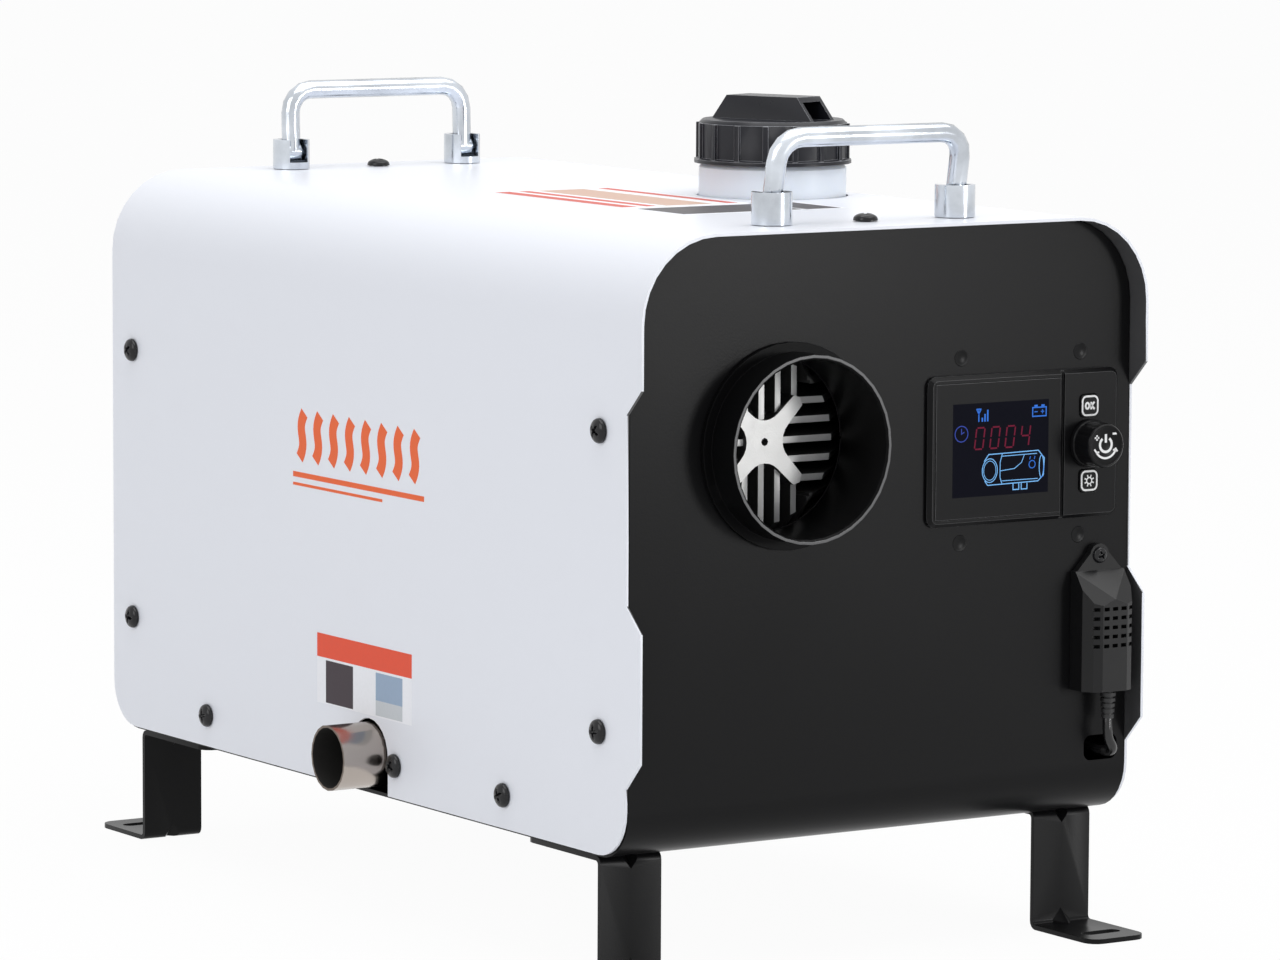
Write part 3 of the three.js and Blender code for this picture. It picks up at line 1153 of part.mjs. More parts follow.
// ---------- Controller, drawn with its bezel's middle at the origin ----------
const keyColumn = KEY_X - CTRL_X;
const lensLeft = -CTRL_W / 2 + LENS.left;
const lensHeight = CTRL_H - 2 * LENS.margin;
const stemEnd = WHEEL_Y + WHEEL_T + STEM_PROUD;

function controllerHousing() {
  const face = -CTRL_PROUD;
  const bezel = new THREE.ExtrudeGeometry(
    roundedRect(CTRL_W - 2 * CTRL_CHAMFER, CTRL_H - 2 * CTRL_CHAMFER, CTRL_CORNER_R), {
      depth: CTRL_PROUD - SEAT - CTRL_CHAMFER, bevelThickness: CTRL_CHAMFER, bevelSize: CTRL_CHAMFER,
      bevelSegments: 1, curveSegments: 2,
    });
  bezel.applyMatrix4(FACING.y);
  bezel.translate(0, -SEAT, 0);
  const plate = solid(bezel).intersect(block(-CTRL_W, CTRL_W, face - HAIR, -SEAT, -CTRL_H, CTRL_H));
  const back = block(
    -CTRL_W / 2 + CTRL_BACK_MARGIN, CTRL_W / 2 - CTRL_BACK_MARGIN, face / 2, CTRL_BACK_D,
    -CTRL_H / 2 + CTRL_BACK_MARGIN, CTRL_H / 2 - CTRL_BACK_MARGIN);
  const lensPocket = block(
    lensLeft - SEAT, lensLeft + LENS.width + SEAT, face - PAST, face + LENS.depth,
    -lensHeight / 2 - SEAT, lensHeight / 2 + SEAT);
  const dividerX = lensLeft + LENS.width + SEAT;
  const divider = block(dividerX, dividerX + DIVIDER_W, face - PAST, face + DIVIDER_D, -CTRL_H, CTRL_H);
  const keyHoles = [-KEY_RISE, KEY_RISE].map((z) =>
    prism(roundedRect(KEY_SIZE + 2 * SEAT, KEY_SIZE + 2 * SEAT, KEY_CORNER_R + SEAT, keyColumn, z), "y",
      face - PAST, face + KEY_DEPTH - KEY_PROUD + KEY_TRAVEL + SEAT, 2));
  return cut(
    join(plate, back), lensPocket, divider, ...keyHoles,
    rod(STEM_R + SEAT, "y", face - PAST, stemEnd + STEM_END_GAP, [keyColumn, 0], 16),
    rod(WHEEL_R + WHEEL_GAP, "y", WHEEL_Y - SEAT, WHEEL_Y + WHEEL_T + SEAT, [keyColumn, 0], 24));
}

function controlKnob() {
  const back = -CTRL_PROUD - KNOB_GAP;
  const face = back - KNOB_L;
  const collar = back - KNOB_COLLAR.height;
  const cap = turned([
    [0, back], [KNOB_R, back], [KNOB_R, collar], [KNOB_R - KNOB_COLLAR.step, collar - KNOB_COLLAR.taper],
    ...KNOB_RIM.map(([inwards, behind]) => [KNOB_R - inwards, face + behind]), [0, face + KNOB_RIM.at(-1)[1]],
  ], "y", 24);
  const flutes = [];
  for (let i = 0; i < FLUTE.count; i++)
    flutes.push(
      rod(FLUTE.radius, "y", face - PAST, collar - KNOB_COLLAR.taper, [KNOB_R - FLUTE.inset, 0], 4)
        .rotate([0, (360 * i) / FLUTE.count, 0]));
  return join(cut(cap, ...flutes), rod(STEM_R, "y", back - PAST, stemEnd, [0, 0], 16));
}

function keyCap() {
  const face = -CTRL_PROUD - KEY_PROUD;
  return prism(roundedRect(KEY_SIZE, KEY_SIZE, KEY_CORNER_R), "y", face, face + KEY_DEPTH, 2);
}

function controller() {
  const group = new THREE.Group();
  group.position.set(CTRL_X, 0, CTRL_Z);
  const lensFace = -CTRL_PROUD - LENS.proud;
  const lens = block(
    lensLeft, lensLeft + LENS.width, lensFace, -CTRL_PROUD + LENS.depth - SEAT,
    -lensHeight / 2, lensHeight / 2);
  const wheel = cut(
    rod(WHEEL_R, "y", WHEEL_Y, WHEEL_Y + WHEEL_T, [0, 0], 20),
    rod(STEM_R + SEAT, "y", WHEEL_Y - PAST, WHEEL_Y + WHEEL_T + PAST, [0, 0], 16));
  group.add(
    part("controller_housing", blackPlastic, controllerHousing()),
    part("display_lens", smokedLens, lens));
  const onColumn = [
    [part("encoder_wheel", steel, wheel), 0],
    [part("control_knob", blackPlastic, controlKnob()), 0],
    [part("ok_button", blackPlastic, keyCap()), KEY_RISE],
    [part("settings_button", blackPlastic, keyCap()), -KEY_RISE],
  ];
  for (const [mesh, z] of onColumn) {
    mesh.position.set(keyColumn, 0, z);
    group.add(mesh);
  }
  return group;
}

// ---------- Sensor module ----------
function sensorHousing() {
  const half = SENSOR_W / 2;
  const back = -SEAT;
  const face = back - SENSOR_D;
  const { size, waist, rise } = SENSOR_BEVEL;
  const plan = polygon([
    [-half, back], [-half, face + size], [-half + waist, face + rise], [-half + size, face],
    [half - size, face], [half - waist, face + rise], [half, face + size], [half, back],
  ]);
  const body = prism(plan, "z", SENSOR_LOW, SENSOR_TOP);
  const earTop = SENSOR_TOP + EAR_RISE;
  const slope = prism(polygon([
    [face - PAST, SENSOR_FACET_Z - PAST], [back - EAR_T, SENSOR_TOP - HAIR],
    [back - EAR_T, earTop], [face - PAST, earTop],
  ]), "x", -half - PAST, half + PAST);
  const ear = new THREE.Shape();
  ear.moveTo(-half, SENSOR_TOP - EAR_ROOT);
  ear.lineTo(half, SENSOR_TOP - EAR_ROOT);
  ear.lineTo(half, SENSOR_TOP - EAR_SHOULDER);
  ear.absarc(0, earTop, EAR_R, EAR_ARC_START, Math.PI - EAR_ARC_START);
  ear.lineTo(-half, SENSOR_TOP - EAR_SHOULDER);
  ear.closePath();
  const vents = [];
  for (let row = 0; row < VENT.rows; row++)
    for (let column = 0; column < VENT.columns; column++) {
      const x = (column - (VENT.columns - 1) / 2) * VENT.colPitch;
      const z = VENT.low + row * VENT.rowPitch;
      vents.push(block(
        x - VENT.width / 2, x + VENT.width / 2, face - PAST, face + VENT.depth, z, z + VENT.height));
    }
  return cut(
    join(cut(body, slope), prism(ear, "y", back - EAR_T, back, 5)),
    rod(EAR_HOLE_R, "y", back - EAR_T - PAST, back + PAST, [0, earTop], 8), ...vents);
}

function sensorLead() {
  const top = SENSOR_LOW - SEAT;
  const out = -SENSOR_D / 2 - SEAT;
  const holeX = HALF_W - LEAD_HOLE.right - LEAD_HOLE.width / 2 - SENSOR_X;
  const lead = sweep(smooth([
    [LEAD_OFFSET, out, top], [LEAD_OFFSET, out, top - LEAD_DROP],
    [LEAD_OFFSET - LEAD_R / 4, out - LEAD_R / 2, LEAD_HOLE.z + LEAD_BOW],
    [holeX + LEAD_R / 2, out + LEAD_R / 2, LEAD_HOLE.z - LEAD_R / 4],
    [holeX, -LEAD_R / 2, LEAD_HOLE.z - LEAD_R / 2], [holeX, SHEET + LEAD_TAIL, LEAD_HOLE.z],
  ]), LEAD_R, 14, 8);
  const ribs = [];
  for (let i = 0; i < RELIEF.ribs; i++) {
    const [r, ribTop] = [RELIEF.radius - RELIEF.taper * i, top - RELIEF.pitch * i];
    ribs.push(rod(r, "z", ribTop - RELIEF.height, ribTop, [LEAD_OFFSET, out], 8));
  }
  return join(lead, ...ribs);
}

function sensorModule() {
  const group = new THREE.Group();
  group.position.x = SENSOR_X;
  group.add(
    part("sensor_housing", blackPlastic, sensorHousing()),
    part("sensor_lead", rubber, sensorLead()));
  return group;
}

// ---------- Rear panel ----------
function inletGrille() {
  const front = CASE_D + SEAT;
  const back = front + GRILLE_T;
  const ring = (outer, width) => turned([
    [outer - width, front], [outer, front], [outer, back], [outer - width, back],
  ], "y", 20);
  const rings = [ring(GRILLE_R, GRILLE_RIM)];
  const pitch = (GRILLE_R - GRILLE_RIM) / (GRILLE_RINGS + 1);
  for (let i = 1; i <= GRILLE_RINGS; i++) rings.push(ring(pitch * i + GRILLE_BAR / 2, GRILLE_BAR));
  const spokes = [];
  for (let i = 0; i < GRILLE_SPOKES; i++)
    spokes.push(
      block(pitch, GRILLE_R - GRILLE_RIM / 2, front, back, -GRILLE_BAR / 2, GRILLE_BAR / 2)
        .rotate([0, (360 * i) / GRILLE_SPOKES, 0]));
  return join(...rings, ...spokes);
}

function powerInlet() {
  const { width, height, cornerR, proud, wall, depth, behind, pin, pinR, pinOffset } = INLET_SOCKET;
  const front = CASE_D + SEAT;
  const flange = prism(roundedRect(width, height, cornerR), "y", front, front + proud, 3);
  const body = block(
    -width / 2 + wall, width / 2 - wall, front - behind, front + proud / 2,
    -height / 2 + wall, height / 2 - wall);
  const cavity = block(
    -width / 2 + 2 * wall, width / 2 - 2 * wall, front + proud - depth, front + proud + PAST,
    -height / 2 + 2 * wall, height / 2 - 2 * wall);
  const pins = [-1, 1].map((side) =>
    rod(pinR, "y", front + proud - depth - PAST, front + proud - depth + pin, [side * pinOffset, 0], 8));
  return join(cut(join(flange, body), cavity), ...pins);
}

function rearFittings() {
  const group = new THREE.Group();
  const grille = part("inlet_grille", blackPlastic, inletGrille());
  grille.position.set(AXIS_X, 0, AXIS_Z);
  const socket = part("power_inlet", blackPlastic, powerInlet());
  socket.position.set(HALF_W - INLET_SOCKET.inset, 0, INLET_SOCKET.z);
  group.add(grille, socket);
  return group;
}

// ---------- Assembly ----------
const lowerFittings = new THREE.Group();
lowerFittings.position.x = AXIS_X;
lowerFittings.add(
  part("heater_bracket", steel, heaterTable()),
  part("exhaust_pipe", stainless, exhaustPipe()));
const silencer = part("intake_silencer", blackPlastic, intakeSilencer());
silencer.position.y = INTAKE_Y;
lowerFittings.add(silencer);

const heater = new THREE.Group();
heater.add(
  part("case_shell", whitePaint, caseShell()), part("chassis", blackPaint, chassis()), caseScrews(), legs(),
  handles(), heaterUnit(), lowerFittings, fuelSystem(), controller(), sensorModule(), rearFittings());

// The origin is on the floor, midway along and across everything that stands out of the case.
const leftmost = -HALF_W - EXHAUST_OUT;
const rightmost = HALF_W + SEAT + SCREW_HEAD_H;
heater.position.set(-(leftmost + rightmost) / 2, -CASE_D / 2, -FLOOR_Z);

const root = new THREE.Group();
root.add(heater);
export default root;
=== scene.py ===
"""Looks of the portable diesel air heater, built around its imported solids. Metres, +Z up."""
import math

import bmesh
import bpy
from mathutils import Matrix, Vector


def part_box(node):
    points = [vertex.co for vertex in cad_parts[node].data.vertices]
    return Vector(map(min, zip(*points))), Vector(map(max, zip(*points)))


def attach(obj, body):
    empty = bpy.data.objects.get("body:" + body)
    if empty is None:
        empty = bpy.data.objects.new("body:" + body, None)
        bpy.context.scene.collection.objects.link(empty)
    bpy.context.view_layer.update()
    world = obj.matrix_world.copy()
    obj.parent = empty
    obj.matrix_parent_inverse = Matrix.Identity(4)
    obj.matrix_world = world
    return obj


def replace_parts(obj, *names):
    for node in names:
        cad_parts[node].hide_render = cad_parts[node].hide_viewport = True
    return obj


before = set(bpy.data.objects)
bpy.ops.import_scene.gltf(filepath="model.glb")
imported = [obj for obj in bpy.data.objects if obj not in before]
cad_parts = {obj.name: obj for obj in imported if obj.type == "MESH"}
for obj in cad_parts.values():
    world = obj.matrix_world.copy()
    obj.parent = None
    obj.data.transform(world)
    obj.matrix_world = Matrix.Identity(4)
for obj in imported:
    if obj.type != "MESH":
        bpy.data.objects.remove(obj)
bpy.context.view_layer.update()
MM = 0.001

# ---------------------------------------------------------------------------------------------
# Camera and studio. A long lens from the outlet side, a white floor, an even white room and
# three soft lamps: overhead, on the left for the long side, and a small one in front on the right.
# ---------------------------------------------------------------------------------------------
camera_data = bpy.data.cameras.new("camera")
camera_data.sensor_width = 36.0
camera_data.lens = 177.35
camera_data.clip_end = 30.0
camera = bpy.data.objects.new("camera", camera_data)
camera.location = (-1.39557, -2.21228, 0.47211)
camera.rotation_euler = [math.radians(turn) for turn in (83.4151, -0.2804, -32.7214)]
bpy.context.scene.collection.objects.link(camera)
bpy.context.scene.camera = camera
bpy.context.scene.view_settings.view_transform = "Standard"


def softbox(name, place, aim, width, height, watts):
    lamp = bpy.data.lights.new(name, "AREA")
    lamp.shape = "RECTANGLE"
    lamp.size, lamp.size_y, lamp.energy = width, height, watts
    lamp_object = bpy.data.objects.new(name, lamp)
    lamp_object.location = place
    direction = Vector(aim) - Vector(place)
    lamp_object.rotation_euler = direction.to_track_quat("-Z", "Y").to_euler()
    bpy.context.scene.collection.objects.link(lamp_object)


softbox("lamp_overhead", (0.35, -0.25, 2.2), (0, 0, 0.2), 2.2, 2.4, 42)
softbox("lamp_left", (-2.2, -0.5, 1.4), (0, 0, 0.2), 1.5, 1.5, 16)
softbox("lamp_front", (1.2, -2.35, 0.34), (0, -0.2, 0.25), 0.4, 0.4, 11)


def seen_directly(tree):
    """A value that is 1 where the camera, a mirror or a window sees the surface straight on."""
    path = tree.nodes.new("ShaderNodeLightPath")
    seen = path.outputs["Is Camera Ray"]
    for other in ("Is Glossy Ray", "Is Transmission Ray"):
        most = tree.nodes.new("ShaderNodeMath")
        most.operation = "MAXIMUM"
        tree.links.new(seen, most.inputs[0])
        tree.links.new(path.outputs[other], most.inputs[1])
        seen = most.outputs[0]
    return seen


room = bpy.data.worlds.new("studio")
bpy.context.scene.world = room
room.use_nodes = True
room_tree = room.node_tree
fill_light = room_tree.nodes["Background"]
fill_light.inputs["Color"].default_value = (0.95, 0.97, 1.0, 1)
fill_light.inputs["Strength"].default_value = 0.38
white_wall = room_tree.nodes.new("ShaderNodeBackground")
white_wall.inputs["Color"].default_value = (0.96, 0.96, 0.96, 1)
wall_mix = room_tree.nodes.new("ShaderNodeMixShader")
room_tree.links.new(seen_directly(room_tree), wall_mix.inputs["Fac"])
room_tree.links.new(fill_light.outputs[0], wall_mix.inputs[1])
room_tree.links.new(white_wall.outputs[0], wall_mix.inputs[2])
room_tree.links.new(wall_mix.outputs[0], room_tree.nodes["World Output"].inputs["Surface"])

floor_mesh = bpy.data.meshes.new("studio_floor")
floor_mesh.from_pydata([(-9, -9, 0), (9, -9, 0), (9, 9, 0), (-9, 9, 0)], [], [(0, 1, 2, 3)])
floor = bpy.data.objects.new("studio_floor", floor_mesh)
bpy.context.scene.collection.objects.link(floor)
floor_paint = bpy.data.materials.new("studio_floor")
floor_paint.use_nodes = True
floor_tree = floor_paint.node_tree
floor_shader = floor_tree.nodes["Principled BSDF"]
floor_shader.inputs["Base Color"].default_value = (0.8, 0.8, 0.8, 1)
floor_shader.inputs["Roughness"].default_value = 0.9
floor_glow = floor_tree.nodes.new("ShaderNodeEmission")
floor_mix = floor_tree.nodes.new("ShaderNodeMixShader")
glow_share = floor_tree.nodes.new("ShaderNodeMath")
glow_share.operation = "MULTIPLY"
glow_share.inputs[1].default_value = 0.96
floor_tree.links.new(seen_directly(floor_tree), glow_share.inputs[0])
floor_tree.links.new(glow_share.outputs[0], floor_mix.inputs["Fac"])
floor_tree.links.new(floor_shader.outputs[0], floor_mix.inputs[1])
floor_tree.links.new(floor_glow.outputs[0], floor_mix.inputs[2])
floor_tree.links.new(floor_mix.outputs[0], floor_tree.nodes["Material Output"].inputs["Surface"])
floor_mesh.materials.append(floor_paint)

# ---------------------------------------------------------------------------------------------
# Tools. The finish that all materials share, and how a piece gets its mesh, its edges and its body.
# ---------------------------------------------------------------------------------------------
def new_group(name, inputs, outputs):
    """An empty shader node group with its sockets, and its two end nodes."""
    made = bpy.data.node_groups.new(name, "ShaderNodeTree")
    for label, kind in inputs:
        made.interface.new_socket(label, in_out="INPUT", socket_type="NodeSocket" + kind)
    for label, kind in outputs:
        made.interface.new_socket(label, in_out="OUTPUT", socket_type="NodeSocket" + kind)
    return made, made.nodes.new("NodeGroupInput"), made.nodes.new("NodeGroupOutput")


# A finish that is never quite even: cloudy colour and gloss, and a fine grain to the touch.
uneven, uneven_in, uneven_out = new_group(
    "uneven_finish",
    [("Place", "Vector"), ("Color", "Color"), ("Roughness", "Float"), ("Cloud Size", "Float"),
     ("Color Spread", "Float"), ("Gloss Spread", "Float"), ("Grain Size", "Float")],
    [("Color", "Color"), ("Roughness", "Float"), ("Height", "Float")])
cloud = uneven.nodes.new("ShaderNodeTexNoise")
cloud.inputs["Detail"].default_value = 4.0
uneven.links.new(uneven_in.outputs["Place"], cloud.inputs["Vector"])
uneven.links.new(uneven_in.outputs["Cloud Size"], cloud.inputs["Scale"])
centred = uneven.nodes.new("ShaderNodeMath")
centred.operation = "SUBTRACT"
centred.inputs[1].default_value = 0.5
uneven.links.new(cloud.outputs["Fac"], centred.inputs[0])
tint = uneven.nodes.new("ShaderNodeMath")
tint.operation = "MULTIPLY_ADD"
tint.inputs[2].default_value = 1.0
uneven.links.new(centred.outputs[0], tint.inputs[0])
uneven.links.new(uneven_in.outputs["Color Spread"], tint.inputs[1])
tinted = uneven.nodes.new("ShaderNodeVectorMath")
tinted.operation = "SCALE"
uneven.links.new(uneven_in.outputs["Color"], tinted.inputs[0])
uneven.links.new(tint.outputs[0], tinted.inputs["Scale"])
uneven.links.new(tinted.outputs[0], uneven_out.inputs["Color"])
gloss = uneven.nodes.new("ShaderNodeMath")
gloss.operation = "MULTIPLY_ADD"
gloss.use_clamp = True
uneven.links.new(centred.outputs[0], gloss.inputs[0])
uneven.links.new(uneven_in.outputs["Gloss Spread"], gloss.inputs[1])
uneven.links.new(uneven_in.outputs["Roughness"], gloss.inputs[2])
uneven.links.new(gloss.outputs[0], uneven_out.inputs["Roughness"])
grain = uneven.nodes.new("ShaderNodeTexNoise")
grain.inputs["Detail"].default_value = 2.0
uneven.links.new(uneven_in.outputs["Place"], grain.inputs["Vector"])
uneven.links.new(uneven_in.outputs["Grain Size"], grain.inputs["Scale"])
uneven.links.new(grain.outputs["Fac"], uneven_out.inputs["Height"])


def surface(name, colour, roughness, metallic=0.0, cloud_size=40.0, colour_spread=0.06,
            gloss_spread=0.12, grain_size=900.0, relief=0.00001, **sockets):
    """A material of the uneven finish. The clouds and the grain are in sizes per metre."""
    material = bpy.data.materials.new(name)
    material.use_nodes = True
    tree = material.node_tree
    shader = tree.nodes["Principled BSDF"]
    shader.inputs["Metallic"].default_value = metallic
    for socket, value in sockets.items():
        shader.inputs[socket.replace("_", " ")].default_value = value
    place = tree.nodes.new("ShaderNodeTexCoord")
    finish = tree.nodes.new("ShaderNodeGroup")
    finish.name = "finish"
    finish.node_tree = uneven
    values = {"Color": (*colour, 1), "Roughness": roughness, "Cloud Size": cloud_size,
              "Color Spread": colour_spread, "Gloss Spread": gloss_spread, "Grain Size": grain_size}
    for socket, value in values.items():
        finish.inputs[socket].default_value = value
    bump = tree.nodes.new("ShaderNodeBump")
    bump.inputs["Distance"].default_value = relief
    tree.links.new(place.outputs["Object"], finish.inputs["Place"])
    tree.links.new(finish.outputs["Color"], shader.inputs["Base Color"])
    tree.links.new(finish.outputs["Roughness"], shader.inputs["Roughness"])
    tree.links.new(finish.outputs["Height"], bump.inputs["Height"])
    tree.links.new(bump.outputs["Normal"], shader.inputs["Normal"])
    return material


def placed(mesh, name, body, slot, *materials):
    """Puts a finished mesh into the scene as a piece that moves with a body."""
    mesh.name = name
    mesh.materials.clear()
    for material in materials:
        mesh.materials.append(material)
    piece = bpy.data.objects.new(name, mesh)
    bpy.context.scene.collection.objects.link(piece)
    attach(piece, body)
    return piece


def rounded_shading(mesh, crease=34.0):
    mesh.shade_smooth()
    mesh.set_sharp_from_angle(angle=math.radians(crease))


def dressed(node, name, body, slot, material, edge=0.3, crease=34.0, edge_glint=None, flat=0.5):
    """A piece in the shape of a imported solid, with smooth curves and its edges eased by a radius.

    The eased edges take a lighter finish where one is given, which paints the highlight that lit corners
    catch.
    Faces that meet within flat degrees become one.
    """
    shape = bmesh.new()
    shape.from_mesh(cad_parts[node].data)
    bmesh.ops.remove_doubles(shape, verts=shape.verts, dist=1e-6)
    bmesh.ops.dissolve_limit(
        shape, angle_limit=math.radians(flat), verts=shape.verts, edges=shape.edges)
    mesh = bpy.data.meshes.new(name)
    shape.to_mesh(mesh)
    shape.free()
    rounded_shading(mesh, crease)
    piece = placed(mesh, name, body, slot, material)
    if edge:
        easing = piece.modifiers.new("eased_edges", "BEVEL")
        easing.width, easing.segments = edge * MM, 2
        easing.limit_method, easing.angle_limit = "ANGLE", math.radians(crease)
        easing.harden_normals = True
        if edge_glint:
            mesh.materials.append(edge_glint)
            easing.material = 1
    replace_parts(piece, node)
    return piece


# ---------------------------------------------------------------------------------------------
# Cover. One sheet of 1.2 mm steel bent over the top and both sides, powder-coated white outside
# and black inside, screwed to the chassis flanges.
# ---------------------------------------------------------------------------------------------
cover_low, cover_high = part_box("case_shell")
MIDDLE_X = (cover_low.x + cover_high.x) / 2
FRONT_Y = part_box("chassis")[0].y
SILL_Z = cover_low.z

white_paint = surface(
    "white_powder_coat", (0.83, 0.85, 0.91), 0.36, cloud_size=6, colour_spread=0.015, gloss_spread=0.06,
    grain_size=1100, relief=0.000012, Coat_Weight=0.25, Coat_Roughness=0.25)
# Faces that look towards the middle line of the case are its black inner side.
white_tree = white_paint.node_tree
white_shader = white_tree.nodes["Principled BSDF"]
where = white_tree.nodes.new("ShaderNodeTexCoord")
from_core = white_tree.nodes.new("ShaderNodeVectorMath")
from_core.operation = "SUBTRACT"
from_core.inputs[1].default_value = (MIDDLE_X, 0, SILL_Z + 0.1)
across_core = white_tree.nodes.new("ShaderNodeVectorMath")
across_core.operation = "MULTIPLY"
across_core.inputs[1].default_value = (1, 0, 1)
facing = white_tree.nodes.new("ShaderNodeVectorMath")
facing.operation = "DOT_PRODUCT"
inner_side = white_tree.nodes.new("ShaderNodeMath")
inner_side.operation = "LESS_THAN"
inner_side.inputs[1].default_value = -0.01
two_coats = white_tree.nodes.new("ShaderNodeMix")
two_coats.data_type = "RGBA"
two_coats.inputs["B"].default_value = (0.085, 0.085, 0.088, 1)
white_tree.links.new(where.outputs["Object"], from_core.inputs[0])
white_tree.links.new(from_core.outputs[0], across_core.inputs[0])
white_tree.links.new(across_core.outputs[0], facing.inputs[0])
white_tree.links.new(where.outputs["Normal"], facing.inputs[1])
white_tree.links.new(facing.outputs["Value"], inner_side.inputs[0])
white_tree.links.new(inner_side.outputs[0], two_coats.inputs["Factor"])
white_tree.links.new(white_tree.nodes["finish"].outputs["Color"], two_coats.inputs["A"])
white_tree.links.new(two_coats.outputs["Result"], white_shader.inputs["Base Color"])
dressed("case_shell", "cover", "case", "white_paint", white_paint, edge=0.25)

# ---------------------------------------------------------------------------------------------
# Chassis. A folded steel trough that is floor, front and rear panel in one, in black powder coat.
# Four clinched studs behind the front panel hold the controller and show as faint round marks.
# ---------------------------------------------------------------------------------------------
black_paint = surface(
    "black_powder_coat", (0.0065, 0.0065, 0.007), 0.3, cloud_size=9, colour_spread=0.1,
    gloss_spread=0.08, grain_size=1300, relief=0.000022, Specular_IOR_Level=0.12)
dressed("chassis", "chassis_tray", "case", "black_paint", black_paint, edge=0.35)


def turned(name, profile, sides=48, axis="y", at=(0, 0, 0)):
    """A mesh turned about an axis from (radius, height) points in millimetres, closed at its ends."""
    shape = bmesh.new()
    rings = []
    for radius, height in profile:
        if radius:
            ring = [shape.verts.new((radius * math.cos(a), radius * math.sin(a), height))
                    for a in (2 * math.pi * i / sides for i in range(sides))]
        else:
            ring = [shape.verts.new((0, 0, height))] * sides
        rings.append(ring)
    for low, high in zip(rings, rings[1:]):
        for i in range(sides):
            corners = [low[i], low[(i + 1) % sides], high[(i + 1) % sides], high[i]]
            corners = [v for k, v in enumerate(corners) if v not in corners[:k]]
            if len(corners) > 2:
                shape.faces.new(corners)
    if rings[0] is not rings[-1] and profile[0][0] and profile[-1][0]:
        last, first = rings[-1], rings[0]
        for i in range(sides):
            beside = (i + 1) % sides
            shape.faces.new([last[i], last[beside], first[beside], first[i]])
    turn = {"z": Matrix.Identity(4), "y": Matrix.Rotation(math.pi / 2, 4, "X"),
            "x": Matrix.Rotation(-math.pi / 2, 4, "Y")}[axis]
    shape.transform(Matrix.Translation(at) @ turn @ Matrix.Scale(MM, 4))
    bmesh.ops.recalc_face_normals(shape, faces=shape.faces)
    mesh = bpy.data.meshes.new(name)
    shape.to_mesh(mesh)
    shape.free()
    rounded_shading(mesh)
    return mesh


STUD_PLACES = [(36, 186.4), (94, 186.4), (36, 113), (94, 113)]
STUD_PROFILE = [(0, 0.02), (2.2, 0.02), (2.7, 0.22), (3.1, 0.22), (3.6, -0.2), (0, -0.2)]
for number, (x, z) in enumerate(STUD_PLACES, 1):
    mark = turned(f"stud_mark_{number}", STUD_PROFILE, sides=32,
                  at=(MIDDLE_X + x * MM, FRONT_Y, SILL_Z + z * MM))
    placed(mark, f"stud_mark_{number}", "case", "black_paint", black_paint)

# ---------------------------------------------------------------------------------------------
# Case screws. Sixteen black zinc screws with domed heads and a cross recess, driven through the
# cover into the chassis flanges.
# ---------------------------------------------------------------------------------------------
screw_black = surface(
    "black_zinc", (0.008, 0.008, 0.0095), 0.18, cloud_size=300, gloss_spread=0.2,
    grain_size=2500, relief=0.00001, Specular_IOR_Level=0.35)


def screw_mesh(name, radius, rise, shank_radius, shank, sides=56, steps=16):
    """A domed head round the origin along +z with a cross recess, on a plain shank."""
    arm_half, arm_reach, sink = 0.13 * radius, 0.62 * radius, 0.55 * rise
    end_slope, side_slope = 0.35 * radius, 0.4 * arm_half
    turns = [2 * math.pi * i / sides for i in range(sides)]
    shape = bmesh.new()
    top = shape.verts.new((0, 0, rise - sink))
    rings = []
    for step in range(1, steps + 1):
        share = step / steps
        ring = []
        for turn in turns:
            x, y = radius * share * math.cos(turn), radius * share * math.sin(turn)
            z = rise * (0.18 + 0.82 * math.sqrt(max(0.0, 1 - share ** 2)))
            near, far = sorted((abs(x), abs(y)))
            if near < arm_half and far < arm_reach:
                z -= (sink * min(1.0, (arm_reach - far) / end_slope)
                      * min(1.0, (arm_half - near) / side_slope))
            ring.append(shape.verts.new((x, y, z)))
        rings.append(ring)
    for r, z in ((radius, 0.0), (shank_radius, 0.0), (shank_radius, -shank)):
        rings.append([shape.verts.new((r * math.cos(turn), r * math.sin(turn), z)) for turn in turns])
    for i in range(sides):
        shape.faces.new([top, rings[0][i], rings[0][(i + 1) % sides]])
    for inner, outer in zip(rings, rings[1:]):
        for i in range(sides):
            shape.faces.new([inner[i], outer[i], outer[(i + 1) % sides], inner[(i + 1) % sides]])
    shape.faces.new(rings[-1])
    shape.transform(Matrix.Scale(MM, 4))
    bmesh.ops.recalc_face_normals(shape, faces=shape.faces)
    mesh = bpy.data.meshes.new(name)
    shape.to_mesh(mesh)
    shape.free()
    rounded_shading(mesh, 40)
    return mesh


HEAD_RADIUS, HEAD_RISE, SHANK_RADIUS, SHANK_LENGTH = 4.9, 2.9, 2.0, 7.5
for node in sorted(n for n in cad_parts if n.startswith("case_screw")):
    low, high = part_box(node)
    centre = (low + high) / 2
    if "_left_" in node:
        seat = Vector((low.x + HEAD_RISE * MM, centre.y, centre.z))
        tilt = Matrix.Rotation(-math.pi / 2, 4, "Y")
    elif "_right_" in node:
        seat = Vector((high.x - HEAD_RISE * MM, centre.y, centre.z))
        tilt = Matrix.Rotation(math.pi / 2, 4, "Y")
    else:
        seat = Vector((centre.x, centre.y, high.z - HEAD_RISE * MM))
        tilt = Matrix.Identity(4)
    spin = Matrix.Rotation(math.radians(37 * int(node[-1]) + 20), 4, "Z")
    mesh = screw_mesh(node, HEAD_RADIUS, HEAD_RISE, SHANK_RADIUS, SHANK_LENGTH)
    mesh.transform(Matrix.Translation(seat) @ tilt @ spin)
    screw = placed(mesh, node.replace("case_screw", "screw"), "case", "screw_black", screw_black)
    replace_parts(screw, node)

